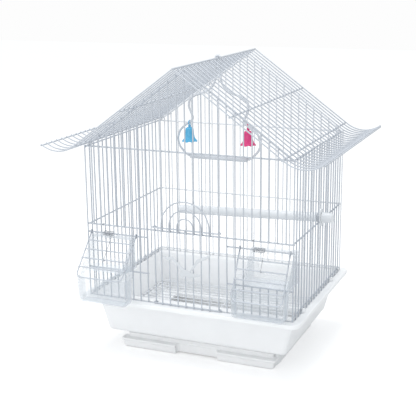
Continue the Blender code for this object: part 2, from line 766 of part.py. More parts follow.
def tapered_box(mesh, middle, half, taper, y_range, z_range):
    """A box whose foot is narrower by the taper on both sides; y_range holds foot and top fronts."""
    loops = []
    foot_front, top_front, back = y_range
    for z, front, reach in ((z_range[0], foot_front, half - taper), (z_range[1], top_front, half)):
        corners = ((-reach, front), (reach, front), (reach, back), (-reach, back))
        loops.append([mesh.verts.new((middle + x, y, z)) for x, y in corners])
    skin(mesh, loops, closed=False)


def feeder_cup(name, side, out):
    """Clear cup: trough outside, neck over the feeder bar, hood inside with a window for the bird.
    It is made as the right cup at home, then mirrored for the left side and pulled out."""
    middle = CUP_X
    y0 = -HALF_DEPTH
    rim = y0 + cup_rim_y()
    back = y0 + CUP_BACK_Y
    rear = y0 + CUP_REAR_Y
    wall = CUP_WALL
    rise = (CUP_HOOD_TOP - CUP_RIM_Z) / (CUP_HOOD_Y - CUP_SHOULDER_Y)
    meet = CUP_RIM_Z + rise * (CUP_BACK_Y - CUP_SHOULDER_Y)
    trough = bmesh.new()
    tapered_box(trough, middle, CUP_HALF, CUP_TAPER, (y0 + CUP_FOOT_Y, rim, back), (CUP_FOOT_Z, CUP_RIM_Z))
    cheeks = bmesh.new()
    low = CUP_RIM_Z - CUP_OVERLAP
    shoulder = y0 + CUP_SHOULDER_Y
    outline = [(shoulder - CUP_OVERLAP, low), (back, low), (back, meet), (shoulder, CUP_RIM_Z)]
    extruded(cheeks, [(middle - CUP_HALF, y, z) for y, z in outline], X_AXIS * 2.0 * CUP_HALF)
    inner_end = middle + CUP_NECK_STEP - CUP_HALF
    outer_end = middle + CUP_HALF
    hood = bmesh.new()
    start = back - CUP_OVERLAP
    outline = [(start, CUP_NECK_Z), (rear, CUP_NECK_Z), (rear, CUP_HOOD_TOP), (y0 + CUP_HOOD_Y, CUP_HOOD_TOP)]
    outline += [(start, meet - rise * CUP_OVERLAP)]
    extruded(hood, [(inner_end, y, z) for y, z in outline], X_AXIS * (outer_end - inner_end))
    body = combined(trough, [cheeks, hood])

    well = bmesh.new()
    depth = CUP_RIM_Z - CUP_FOOT_Z
    lean = (cup_rim_y() - CUP_FOOT_Y) * wall / depth
    fronts = (y0 + CUP_FOOT_Y + lean + wall, rim + wall, back - wall)
    inner_taper = CUP_TAPER * (1.0 - wall / depth)
    tapered_box(well, middle, CUP_HALF - wall, inner_taper, fronts, (CUP_FOOT_Z + wall, CUP_RIM_Z + CUP_OVERLAP))
    above = bmesh.new()
    reach = CUP_HALF - wall - CUP_STEP
    high = CUP_HOOD_TOP + CUP_CUT_PAST
    low_corner = (middle - reach, rim + wall + CUP_STEP, CUP_RIM_Z - CUP_OVERLAP)
    block(above, low_corner, (middle + reach, back - wall - CUP_STEP, high))
    passage = bmesh.new()
    low_corner = (inner_end + wall, rim + 2.0 * wall, CUP_NECK_Z + wall)
    block(passage, low_corner, (outer_end - wall, rear - wall, CUP_HOOD_TOP - wall))
    window = bmesh.new()
    shape = rounded_outline(WINDOW_HALF, WINDOW_LOW, WINDOW_TOP, WINDOW_RADIUS)
    centre = (inner_end + outer_end) / 2.0
    points = [(centre + across, rear - 2.0 * wall, z) for across, z in shape]
    extruded(window, points, Y_AXIS * 4.0 * wall)
    cup = combined(body, [well, above, passage, window], "DIFFERENCE")
    bmesh.ops.triangulate(cup, faces=cup.faces[:])
    cup.transform(Matrix.Translation((0.0, -out, 0.0)) @ Matrix.Diagonal((side, 1.0, 1.0, 1.0)))
    node(name, cup, clear_plastic(name + "_clear"))


def flap_place(middle, angle):
    """Turns the flap's own frame, which hangs down -Z with its outside toward -Y, onto its hinge."""
    return Matrix.Translation((middle, hinge_y(), HINGE_BAR)) @ Matrix.Rotation(-angle, 4, "X")


def feeder_flap(name, middle, angle):
    frame = bmesh.new()
    ring_r = BAR_R + RING_CLEAR + WIRE_R
    bottom = -FLAP_LENGTH
    points = [(FLAP_HALF, 0.0, GAP - ring_r)]
    for step in range(FLAP_CORNER_STEPS + 1):
        turn = math.pi / 2.0 * step / FLAP_CORNER_STEPS
        x = FLAP_HALF - FLAP_CORNER * (1.0 - math.cos(turn))
        points.append((x, 0.0, bottom + FLAP_CORNER * (1.0 - math.sin(turn))))
    tube(frame, points + [(-x, y, z) for x, y, z in reversed(points)], WIRE_R, SQUARE, Y_AXIS)
    crosses = bmesh.new()
    for reach in FLAP_CROSS:
        end = FLAP_HALF + BAR_OVERRUN
        y = -(2.0 * WIRE_R - WELD)
        tube(crosses, [(-end, y, -reach), (end, y, -reach)], WIRE_R, SQUARE, Z_AXIS)
    rings = bmesh.new()
    for side in (-1, 1):
        circle = []
        for step in range(RING_STEPS):
            turn = 2.0 * math.pi * step / RING_STEPS
            circle.append((side * FLAP_HALF, ring_r * math.cos(turn), ring_r * math.sin(turn)))
        tube(rings, circle, WIRE_R, SQUARE, X_AXIS, closed=True)
    flap = combined(frame, [crosses, rings])
    flap.transform(flap_place(middle, angle))
    node(name, flap, coated_wire(name + "_wire"), (middle, hinge_y(), HINGE_BAR))


def spring_line(near, far, angle, reach):
    """Upper arm in front of the middle bar, coils round the hinge rod, lower arm over the flap."""
    axis = Vector((0.0, hinge_y(), HINGE_BAR))
    rest_y = hinge_y() - BAR_R - GAP - SPRING_R
    points = [Vector((near, rest_y, SPRING_UPPER_Z)), Vector((near, rest_y, MIDDLE_BAR - 2.0 * BAR_R))]
    total = 2.0 * math.pi * SPRING_COILS - angle
    steps = int(SPRING_COILS * SPRING_POINTS)
    for step in range(steps + 1):
        turn = -total * step / steps
        x = near + (far - near) * step / steps
        points.append(Vector((x, axis.y - SPRING_MEAN_R * math.cos(turn), axis.z + SPRING_MEAN_R * math.sin(turn))))
    down = Vector((0.0, -math.sin(angle), -math.cos(angle)))
    points.append(points[-1] + down * SPRING_R * 2.0)
    points.append(points[-2] + down * reach)
    return points


def least_gap(points):
    """Smallest clear distance between parts of the wire that are over one coil step apart."""
    line = np.array([tuple(point) for point in points[2:-2]])
    apart = np.linalg.norm(line[:, None] - line[None, :], axis=2)
    far = np.abs(np.subtract.outer(np.arange(len(line)), np.arange(len(line)))) > SPRING_POINTS // 2
    return float(apart[far].min() - 2.0 * SPRING_R)


def flap_spring(name, middle, angle, reach):
    line = spring_line(middle - SPRING_LENGTH, middle, angle, reach)
    clear = least_gap(line)
    print(f"{name}: least gap to itself {clear * 1000:.2f} mm")
    assert clear > SPRING_LEAST_GAP
    coil = bmesh.new()
    tube(coil, line, SPRING_R, SPRING_SIDES, X_AXIS)
    node(name, coil, spring_steel(name + "_steel"), smooth=True)


# Perch
def perch_place():
    """Axis along +X out of the right panel, drooping toward the middle of the cage."""
    turn = Matrix.Rotation(-PERCH_DROOP, 4, "Y") @ Matrix.Rotation(math.pi / 2.0, 4, "Y")
    return Matrix.Translation((HALF_WIDTH, 0.0, PERCH_CENTRE_Z)) @ turn


def perch():
    place = perch_place()
    shoulder = PERCH_SHOULDER - WIRE_R
    rod = bmesh.new()
    profile = (
        (0.0, PERCH_INNER_END), (PERCH_R * 0.6, PERCH_INNER_END + 0.0008), (PERCH_R, PERCH_INNER_END + 0.0040),
        (PERCH_R, shoulder), (PERCH_NECK_R, shoulder), (PERCH_NECK_R, PERCH_NECK_END), (0.0, PERCH_NECK_END),
    )
    turned(rod, profile, PERCH_SIDES, place)
    node("perch_rod", rod, white_plastic("perch_plastic"), smooth=True)
    flange = bmesh.new()
    loops = []
    hole = PERCH_NECK_R + GAP
    for height, half in ((0.0, FLANGE_HALF), (FLANGE_THICKNESS, FLANGE_HALF), (FLANGE_THICKNESS, (hole, hole)), (0.0, (hole, hole))):
        loop = []
        for step in range(FLANGE_SIDES):
            turn = 2.0 * math.pi * step / FLANGE_SIDES
            point = Vector((half[1] * math.cos(turn), half[0] * math.sin(turn), FLANGE_START + height))
            loop.append(flange.verts.new(place @ point))
        loops.append(loop)
    skin(flange, loops, closed=True)
    node("perch_flange", flange, white_plastic("flange_plastic"), smooth=True)
    knob = bmesh.new()
    start = FLANGE_START + FLANGE_THICKNESS + GAP
    bore = PERCH_NECK_R + KNOB_BORE_CLEAR
    profile = (
        (0.0, PERCH_NECK_END + GAP), (bore, PERCH_NECK_END + GAP), (bore, start), (KNOB_R, start),
        (KNOB_R, start + KNOB_LENGTH * 0.35), (KNOB_TIP_R, start + KNOB_LENGTH - 0.002),
        (KNOB_TIP_R - 0.002, start + KNOB_LENGTH), (0.0, start + KNOB_LENGTH),
    )
    turned(knob, profile, PERCH_SIDES, place)
    node("perch_knob", knob, white_plastic("knob_plastic"), smooth=True)


# Swing
def swing():
    reach = RIDGE_R + GAP + SWING_FRAME_R
    half = [(x, 0.0, z) for x, z in SWING_HALF]
    hook = []
    for step in range(SWING_HOOK_STEPS + 1):
        turn = math.pi * step / SWING_HOOK_STEPS
        hook.append((reach * math.cos(turn), 0.0, RIDGE_HEIGHT + reach * math.sin(turn)))
    line = half + hook + [(-x, y, z) for x, y, z in reversed(half)]
    wire = bmesh.new()
    tube(wire, line, SWING_FRAME_R, SWING_SIDES, Y_AXIS)
    origin = (0.0, 0.0, RIDGE_HEIGHT)
    node("swing_frame", wire, white_plastic("swing_plastic"), origin, smooth=True)
    bar = bmesh.new()
    bore = SWING_FRAME_R + SWING_BORE_CLEAR
    end = SWING_BAR_HALF
    edge = 0.0008
    outer = ((bore, -end), (SWING_BAR_R - edge, -end), (SWING_BAR_R, edge - end))
    outer += ((SWING_BAR_R, end - edge), (SWING_BAR_R - edge, end), (bore, end))
    profile = ((0.0, SWING_BORE_DEPTH - end), (bore, SWING_BORE_DEPTH - end)) + outer
    profile += ((bore, end - SWING_BORE_DEPTH), (0.0, end - SWING_BORE_DEPTH))
    place = Matrix.Translation((0.0, 0.0, SWING_HALF[0][1])) @ Matrix.Rotation(math.pi / 2.0, 4, "Y")
    turned(bar, profile, PERCH_SIDES, place)
    node("swing_perch", bar, white_plastic("swing_perch_plastic"), origin, smooth=True)


def bell(name, side, colour):
    hang = Vector((side * BELL_X, 0.0, BELL_HANG_Z))
    shell = bmesh.new()
    crown = BELL_OUTER[0][1]
    profile = ((0.0, crown),) + BELL_OUTER + BELL_INNER + ((0.0, BELL_CROWN - 0.0015),)
    turned(shell, profile, BELL_SIDES, Matrix.Translation(hang))
    ring = bmesh.new()
    circle = []
    for step in range(BELL_RING_STEPS):
        turn = 2.0 * math.pi * (step + 0.5) / BELL_RING_STEPS
        circle.append(hang + Vector((0.0, math.cos(turn), math.sin(turn))) * BELL_RING_R - Z_AXIS * BELL_RING_DROP)
    tube(ring, circle, BELL_RING_WIRE, SQUARE, X_AXIS, closed=True)
    plastic = surface(name + "_plastic", colour, 0.30)
    node(name, combined(shell, [ring]), plastic, hang, smooth=True)


def centre_footprint():
    """Moves every piece alike, so that the origin lies under the middle of the whole object."""
    bpy.context.view_layer.update()
    pieces = bpy.context.scene.objects[:]
    corners = [piece.matrix_world @ Vector(corner) for piece in pieces for corner in piece.bound_box]
    depths = [corner.y for corner in corners]
    for piece in pieces:
        piece.location.y -= (min(depths) + max(depths)) / 2.0


def main():
    clear_scene()
    base_pan()
    slide_tray()
    floor_grille()
    rim_clips()
    front_panel()
    back_panel()
    side_panel("left_panel", -1)
    side_panel("right_panel", 1)
    roof_slope("roof_left", -1)
    roof_slope("roof_right", 1)
    ridge_rod()
    front_door()
    door_ornament()
    feeder_cup("feeder_cup_left", -1, CUP_OUT_LEFT)
    feeder_cup("feeder_cup_right", 1, 0.0)
    feeder_flap("feeder_flap_left", -FEEDER_X, flap_angle_left())
    feeder_flap("feeder_flap_right", FEEDER_X, FLAP_ANGLE_RIGHT)
    flap_spring("flap_spring_left", -FEEDER_X, flap_angle_left(), SPRING_REACH_LEFT)
    flap_spring("flap_spring_right", FEEDER_X, FLAP_ANGLE_RIGHT, SPRING_REACH_RIGHT)
    perch()
    swing()
    bell("bell_blue", -1, (0.08, 0.38, 0.68))
    bell("bell_pink", 1, (0.68, 0.03, 0.19))
    centre_footprint()


main()
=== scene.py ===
"""Looks of the roof top bird cage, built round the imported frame. Points are in the cabin's own frame:
X across, Y from the middle of the cabin toward the back, Z up from the floor, in metres."""

import math

import bmesh
import bpy
from mathutils import Matrix, Vector


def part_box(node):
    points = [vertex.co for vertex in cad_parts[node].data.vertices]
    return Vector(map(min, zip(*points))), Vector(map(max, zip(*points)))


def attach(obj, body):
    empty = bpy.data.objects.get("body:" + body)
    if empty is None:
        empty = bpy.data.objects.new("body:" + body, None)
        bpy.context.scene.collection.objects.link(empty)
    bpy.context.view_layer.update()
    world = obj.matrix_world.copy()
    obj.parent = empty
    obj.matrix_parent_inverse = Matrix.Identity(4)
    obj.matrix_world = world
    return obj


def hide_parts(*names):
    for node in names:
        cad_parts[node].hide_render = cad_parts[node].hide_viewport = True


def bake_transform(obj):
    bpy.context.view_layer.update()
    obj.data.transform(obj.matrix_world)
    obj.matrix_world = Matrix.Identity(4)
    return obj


X_AXIS = Vector((1.0, 0.0, 0.0))
Y_AXIS = Vector((0.0, 1.0, 0.0))
Z_AXIS = Vector((0.0, 0.0, 1.0))
SIDES = ((-1, "left"), (1, "right"))

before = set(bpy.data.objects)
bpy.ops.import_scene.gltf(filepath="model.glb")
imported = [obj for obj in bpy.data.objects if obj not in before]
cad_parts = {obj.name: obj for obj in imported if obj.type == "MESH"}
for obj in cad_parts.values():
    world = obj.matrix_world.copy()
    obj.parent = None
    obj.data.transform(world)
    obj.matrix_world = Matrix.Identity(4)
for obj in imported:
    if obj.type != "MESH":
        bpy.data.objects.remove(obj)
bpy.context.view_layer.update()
ridge_low, ridge_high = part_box("ridge_rod")
SHIFT = (ridge_low.y + ridge_high.y) / 2.0

# Wires
GAP = 0.0003
WELD = 0.0005
HALF_WIDTH = 0.1545
HALF_DEPTH = 0.120
WIRE_R = 0.0010
BAR_R = 0.0012
BAR_DEPTH = WIRE_R + BAR_R - WELD
BAR_OVERRUN = 0.0008
FRONT_PITCH = 0.012
FRONT_COLUMNS = 25
FEEDER_POST = 6
BAR_POST = 8
SIDE_SPACES = 19
RIM_TOP = 0.088
GROOVE_DEPTH = 0.0032
SILL_BAR = 0.0863
SIDE_LOW_BAR = 0.092
FEEDER_BAR = 0.130
HINGE_BAR = 0.183
MIDDLE_BAR = 0.195
EAVE_BAR = 0.308
WALL_TOP = 0.3098
DOORWAY_HALF = 0.047

# Ends of the wires, as (distance from the tip, share of the radius)
WIRE_TIP = ((0.0, 0.45), (0.00025, 0.86), (0.0006, 1.0))
# Dark tips of bare steel at the cut ends, their dark tone partly painted shade where the wires cross.
DARK_TIP = ((0.0, 0.5), (0.00022, 0.9), (0.0005, 1.03))
DARK_TIP_SWELL = 1.03
GABLE_CUT = 0.0013
SIDE_CUT = 0.0012
DOOR_CUT = 0.0011

# Roof
ROOF_PITCH = math.radians(36.0)
RIDGE_HEIGHT = 0.424
RIDGE_R = 0.0014
ROOF_DEPTH = 0.312
RAFTERS = 24
RAFTER_STRAIGHT = 0.152
EAVE_RADIUS = 0.044
EAVE_ROD_BACK = 0.0012
PURLINS = (0.079, 0.149)
UPRIGHT_PAST_GABLE = 0.0035
EAVE_ROD_INSET = 0.00025
GABLE_BEND = 0.004
GABLE_BEND_DROP = 0.0006

# Base
RIM_OUTER = (0.1665, 0.134)
RIM_THICKNESS = 0.006
RIM_RADIUS = 0.013
GROOVE_SIDE = WIRE_R + GAP
GROOVE_WIDTH = 0.0045
TUB_UNDER_RIM = (0.1512, 0.1068)
TUB_BOTTOM = (0.1382, 0.100)
TUB_BOTTOM_Z = 0.0276
TUB_FLOOR = 0.0024
TUB_WALL = 0.0024
TUB_RADIUS = 0.006
LEDGE = (0.131, 0.0915)
LEDGE_Z = 0.0415
FLOOR_OPENING = (0.104, 0.070)
PLINTH = (0.119, 0.0855)
PLINTH_MIDDLE_Y = 0.0095
PLINTH_WALL = 0.0024
PLINTH_RADIUS = 0.006
RAIL_WIDTH = 0.005
RAIL_HEIGHT = 0.0016
MOUTH_HALF = 0.1155
MOUTH_TOP = 0.024
RIM_EDGE = 0.0012
# Under the rim, as (inset from the rim or outset from the tub, height over the rim's underside)
RIM_UNDERSIDE = ((0.0, 0.0006), (0.0005, 0.0), (0.0022, 0.0), (0.0026, 0.0036))
TUB_NECK = ((0.0030, 0.0036), (0.0010, 0.0028))
TUB_ROUNDING = 0.0045
GROOVE_RADIUS = 0.0015

# Tray
TRAY_WALL = 0.0016
TRAY_SIDE_PLAY = 0.0006
TRAY_BACK_PLAY = 0.0016
TRAY_HEIGHT = 0.020
TRAY_START = -0.0825
TRAY_FACE = -0.093
TRAY_REAR = -0.0765
RECESS_HALF = 0.0330
RECESS_MIDDLE = -0.0006
RECESS_DEPTH = 0.009
RECESS_RADIUS = 0.006
# Front of the tray, as (half of its width, inset of half its depth, radius, height, shift to the back)
TRAY_FRONT = (
    (0.1168, 0.0020, 0.0022, 0.0005, 0.0015),
    (0.1176, 0.0014, 0.0026, 0.0014, 0.0012),
    (0.1194, 0.0009, 0.0028, 0.0096, 0.0009),
    (0.1213, 0.0003, 0.0030, 0.0107, 0.0003),
    (0.1218, 0.0, 0.0032, 0.0114, 0.0),
    (0.1218, 0.0, 0.0032, 0.0133, 0.0),
    (0.1212, 0.0006, 0.0028, 0.0140, 0.0),
)

# Floor grille and rim clips
GRILLE_ROD_R = 0.0014
GRILLE_PLAY = 0.0008
GRILLE_CORNER = 0.012
GRILLE_WIRES = 15
GRILLE_PITCH = 0.012
CLIP_PLACES = ((-0.080, "front"), (0.062, "rear"))
CLIP_HALF = 0.0035
CLIP_THICKNESS = 0.0032
CLIP_HEIGHT = 0.005
CLIP_SLOT_HALF = 0.0017

# Door, with the outline of the flying bird as (X, Z)
DOOR_TOP_BAR = 0.2004
DOOR_GUIDE = 0.048
DOOR_PLAY = 0.0005
DOOR_ARCHES = (0.036, 0.024, 0.012)
DOOR_ARCH_BASE = 0.205
BIRD_THICKNESS = 0.0018
BIRD_OUTLINE = (
    (-0.0342, 0.1621), (-0.0251, 0.1604), (-0.0184, 0.1624), (-0.0147, 0.1590), (-0.0076, 0.1520),
    (0.0007, 0.1454), (0.0073, 0.1436), (0.0123, 0.1520), (0.0181, 0.1619), (0.0256, 0.1651),
    (0.0339, 0.1689), (0.0397, 0.1728), (0.0381, 0.1682), (0.0322, 0.1635), (0.0248, 0.1603),
    (0.0190, 0.1553), (0.0131, 0.1473), (0.0090, 0.1426), (0.0148, 0.1405), (0.0231, 0.1410),
    (0.0231, 0.1383), (0.0148, 0.1360), (0.0073, 0.1338), (-0.0001, 0.1359), (-0.0035, 0.1330),
    (-0.0084, 0.1368), (-0.0076, 0.1399), (-0.0051, 0.1431), (-0.0101, 0.1488), (-0.0143, 0.1538),
    (-0.0184, 0.1572), (-0.0251, 0.1560), (-0.0309, 0.1593),
)

# Feeders
FEEDER_X = 0.114
CUP_X = 0.112
CUP_HALF = 0.0385
CUP_TAPER = 0.0015
CUP_WALL = 0.0016
CUP_RIM_Z = 0.130
CUP_FOOT_Y = -0.0240
CUP_FOOT_Z = 0.0915
CUP_BACK_Y = -0.0015
CUP_NECK_Z = FEEDER_BAR + BAR_R + GAP
CUP_NECK_STEP = 0.0125
CUP_OVERLAP = 0.0013
CUP_STEP = 0.0003
CUP_REAR_Y = 0.035
CUP_HOOD_Y = 0.0215
CUP_HOOD_TOP = 0.178
CUP_SHOULDER_Y = -0.014
CUP_OUT_LEFT = 0.0203
CUP_RADIUS = 0.0035
WELL_RADIUS = 0.0020
WELL_ROUNDING = 0.0022
WINDOW_Z = 0.154
WINDOW_HALF = (0.024, 0.015)
WINDOW_RADIUS = 0.008
FLAP_LENGTH = 0.0724
FLAP_HALF = 0.0357
FLAP_CORNER = 0.008
FLAP_CROSS = (0.0145, 0.0287, 0.0429, 0.0571)
FLAP_ANGLE_RIGHT = math.radians(29.0)
RING_CLEAR = 0.00035
SPRING_R = 0.0004
SPRING_COILS = 7
SPRING_MEAN_R = 0.0032
SPRING_LENGTH = 0.0158
HINGE_Y = -HALF_DEPTH + BAR_DEPTH

# Perch, its lengths measured outward from the right panel; the knob as (radius, distance from its seat)
PERCH_R = 0.00675
PERCH_TILT = math.radians(2.0)
PERCH_END = -0.221
PERCH_ROUNDING = 0.0040
PERCH_SHOULDER = -0.0016 - WIRE_R
NECK_R = 0.0044
NECK_LENGTH = 0.0130
FLANGE_HALF = (0.0075, 0.0128)
FLANGE_SEAT = 0.0018
FLANGE_THICKNESS = 0.0020
KNOB = (
    (0.0074, 0.0), (0.0078, 0.0004), (0.0078, 0.0056), (0.0066, 0.0130), (0.0058, 0.0150),
    (0.0042, 0.0160), (0.0, 0.0160),
)

# Swing, the right half of its wire as (X, Z)
SWING_HALF = (
    (0.0385, 0.2790), (0.0460, 0.2792), (0.0510, 0.2812), (0.0562, 0.2860), (0.0617, 0.2925),
    (0.0643, 0.3000), (0.0643, 0.3075), (0.0600, 0.3180), (0.0510, 0.3260), (0.0435, 0.3305),
    (0.0405, 0.3360), (0.0430, 0.3435), (0.0465, 0.3520), (0.0450, 0.3620), (0.0367, 0.3690),
    (0.0240, 0.3735), (0.0130, 0.3795), (0.0062, 0.3880), (0.0038, 0.3990),
)
SWING_R = 0.0017
SWING_BAR_R = 0.0038
SWING_BAR_HALF = 0.045
SWING_SOCKET = 0.0070
SWING_SOCKET_PLAY = 0.0004

# Bells, outside and inside as (radius, height from the middle of the hoop), with the scallops of the rim
BELL_X = 0.046
BELL_Z = 0.3287
BELL_OUTER = (
    (0.0013, -0.0030), (0.0019, -0.0038), (0.0021, -0.0052), (0.0018, -0.0066), (0.0034, -0.0073),
    (0.0052, -0.0082), (0.0060, -0.0096), (0.0062, -0.0118), (0.0064, -0.0144), (0.0067, -0.0180),
    (0.0074, -0.0214), (0.0088, -0.0244), (0.0107, -0.0265), (0.0118, -0.0278), (0.0119, -0.0284),
)
BELL_INNER = (
    (0.0113, -0.0285), (0.0098, -0.0268), (0.0074, -0.0238), (0.0058, -0.0186), (0.0052, -0.0130),
    (0.0042, -0.0104), (0.0, -0.0098),
)
SCALLOPS = 8.0
SCALLOP_START = -0.0225
SCALLOP_REACH = 0.006
SCALLOP_SHARE = 0.035
SCALLOP_LIFT = 0.0006
HOOP_R = 0.0034
HOOP_WIRE_R = 0.0006

# Camera and light
PICTURE_PIXELS = 416.0
FOCAL_PIXELS = 928.1
SENSOR_WIDTH = 36.0
CAMERA_PLACE = (0.5049, -1.2372, 0.5506)
CAMERA_ANGLES = (-22.90, 14.59, -0.55)
FLOOR_Z = -0.0002
FLOOR_LIFT = 0.36
WORLD_COLOUR = (0.955, 0.98, 1.0, 1.0)
WORLD_STRENGTH = 0.83
BACKDROP = (0.982, 0.982, 0.982, 1.0)


# Materials
def finish(name, colour, roughness, grain=240.0, tone=0.035, bump=0.06, metallic=0.0):
    """Plastic or coating with a faint mottled tone, uneven gloss and a fine moulded skin."""
    made = bpy.data.materials.new(name)
    made.use_nodes = True
    nodes, links = made.node_tree.nodes, made.node_tree.links
    shader = nodes["Principled BSDF"]
    shader.inputs["Metallic"].default_value = metallic
    place = nodes.new("ShaderNodeTexCoord")
    broad = nodes.new("ShaderNodeTexNoise")
    broad.inputs["Scale"].default_value = grain / 8.0
    broad.inputs["Detail"].default_value = 3.0
    fine = nodes.new("ShaderNodeTexNoise")
    fine.inputs["Scale"].default_value = grain * 4.0
    fine.inputs["Detail"].default_value = 4.0
    for texture in (broad, fine):
        links.new(place.outputs["Object"], texture.inputs["Vector"])
    shade = nodes.new("ShaderNodeValToRGB")
    shade.color_ramp.elements[0].position = 0.30
    shade.color_ramp.elements[1].position = 0.68
    shade.color_ramp.elements[0].color = (*[channel * (1.0 - tone) for channel in colour], 1.0)
    shade.color_ramp.elements[1].color = (*colour, 1.0)
    links.new(broad.outputs["Fac"], shade.inputs["Fac"])
    links.new(shade.outputs["Color"], shader.inputs["Base Color"])
    gloss = nodes.new("ShaderNodeMapRange")
    gloss.inputs["To Min"].default_value = roughness * 0.85
    gloss.inputs["To Max"].default_value = roughness * 1.20
    links.new(fine.outputs["Fac"], gloss.inputs["Value"])
    links.new(gloss.outputs["Result"], shader.inputs["Roughness"])
    skin_bump = nodes.new("ShaderNodeBump")
    skin_bump.inputs["Strength"].default_value = bump
    skin_bump.inputs["Distance"].default_value = 0.0002
    links.new(fine.outputs["Fac"], skin_bump.inputs["Height"])
    links.new(skin_bump.outputs["Normal"], shader.inputs["Normal"])
    return made


def clear_finish(name):
    """Clear moulded plastic: see-through face on, milky along its edges."""
    made = finish(name, (0.76, 0.81, 0.86), 0.07, grain=120.0, tone=0.04, bump=0.03)
    nodes, links = made.node_tree.nodes, made.node_tree.links
    facing = nodes.new("ShaderNodeLayerWeight")
    facing.inputs["Blend"].default_value = 0.35
    cover = nodes.new("ShaderNodeMapRange")
    cover.inputs["To Min"].default_value = 0.05
    cover.inputs["To Max"].default_value = 0.70
    links.new(facing.outputs["Facing"], cover.inputs["Value"])
    links.new(cover.outputs["Result"], nodes["Principled BSDF"].inputs["Alpha"])
    return made


# The coated wire is white; here it is painted a darker grey, as painted shade for the dark edges of the
# wires.
SHADE_DARKENED_WIRE = finish("white_coated_wire_darkened_for_painted_shade", (0.57, 0.605, 0.655), 0.30, grain=500.0, tone=0.06, bump=0.10)
# Cut ends of bare steel, painted near black as painted shade where the wires cross.
CUT_END_AND_SHADE = finish("cut_wire_end_and_painted_shade", (0.16, 0.17, 0.19), 0.45, grain=900.0, tone=0.20, bump=0.12)
# The same white coat painted paler for the back panel and the floor grille, as painted light where these
# wires lie in the cage's shade.
LIGHT_PAINTED_WIRE = finish("coated_wire_lightened_for_painted_light", (0.84, 0.86, 0.885), 0.30, grain=500.0, tone=0.04, bump=0.10)
SWING_PLASTIC = finish("white_swing_plastic", (0.66, 0.69, 0.73), 0.28, tone=0.04)
PERCH_PLASTIC = finish("white_perch_plastic", (0.80, 0.825, 0.85), 0.30, tone=0.04)
BIRD_PLASTIC = finish("white_ornament_plastic", (0.70, 0.73, 0.76), 0.34, tone=0.05)
TUB_PLASTIC = finish("white_tub_plastic", (0.945, 0.955, 0.965), 0.36)
# The tray is painted lighter than the tub, as painted light on its front, which lies in shade under the
# tub.
TRAY_PLASTIC_PAINTED_LIGHT = finish("white_tray_plastic_lightened_as_painted_light", (0.975, 0.98, 0.985), 0.38)
FITTING = finish("white_fitting_plastic", (0.92, 0.935, 0.95), 0.28)
CLEAR = clear_finish("clear_plastic")
STEEL = finish("spring_steel", (0.44, 0.46, 0.49), 0.24, grain=900.0, tone=0.18, bump=0.08, metallic=1.0)
BLUE = finish("blue_plastic", (0.10, 0.46, 0.74), 0.24, grain=300.0, tone=0.10)
PINK = finish("pink_plastic", (0.74, 0.05, 0.22), 0.24, grain=300.0, tone=0.10)


# Making pieces
def dress(piece, body, nodes):
    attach(piece, body)
    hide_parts(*nodes)
    return piece


def arc(count, start, end):
    return [start + (end - start) * step / count for step in range(count + 1)]


def round_ends(points):
    """A wire line as (point, share of radius) pairs, with a short rounding at both cut ends."""
    points = [Vector(point) for point in points]
    first = (points[1] - points[0]).normalized()
    last = (points[-2] - points[-1]).normalized()
    line = [(points[0] + first * reach, share) for reach, share in WIRE_TIP]
    line += [(point, 1.0) for point in points[1:-1]]
    return line + [(points[-1] + last * reach, share) for reach, share in reversed(WIRE_TIP)]


def add_cut_ends_with_painted_shade(data, points, radius, cut):
    """Dark tips: bare steel where the wire is cut, painted near black as painted shade where the wires
    cross; those sunk in the groove of the rim don't show and stay plain.
    """
    shape = DARK_TIP + ((cut, DARK_TIP_SWELL),)
    for tip, inward in ((points[0], points[1]), (points[-1], points[-2])):
        if tip.z < RIM_TOP:
            continue
        along = (inward - tip).normalized()
        spline = data.splines.new("POLY")
        spline.material_index = 1
        spline.points.add(len(shape) - 1)
        for target, (reach, share) in zip(spline.points, shape):
            target.co = (*(tip + along * reach), 1.0)
            target.radius = radius * share / WIRE_R


def wires(name, lines, closed=(), material=None, cut=0.0):
    """One curve object of many round wires. A line is (points, radius). A cut length gives every wire
    two dark ends: bare steel, as wire has where it is cut after coating, darkened further as painted
    shade."""
    data = bpy.data.curves.new(name, "CURVE")
    data.dimensions = "3D"
    data.bevel_depth = WIRE_R
    data.bevel_resolution = 2
    data.use_fill_caps = True
    for points, radius in lines:
        spline = data.splines.new("POLY")
        line = round_ends(points)
        spline.points.add(len(line) - 1)
        for target, (point, share) in zip(spline.points, line):
            target.co = (*point, 1.0)
            target.radius = radius * share / WIRE_R
        if cut:
            add_cut_ends_with_painted_shade(data, [Vector(point) for point in points], radius, cut)
    for points, radius in closed:
        spline = data.splines.new("POLY")
        spline.points.add(len(points) - 1)
        spline.use_cyclic_u = True
        for target, point in zip(spline.points, points):
            target.co = (*point, 1.0)
            target.radius = radius / WIRE_R
    data.materials.append(material or SHADE_DARKENED_WIRE)
    if cut:
        data.materials.append(CUT_END_AND_SHADE)
    piece = bpy.data.objects.new(name, data)
    bpy.context.scene.collection.objects.link(piece)
    piece.location.y = SHIFT
    return piece


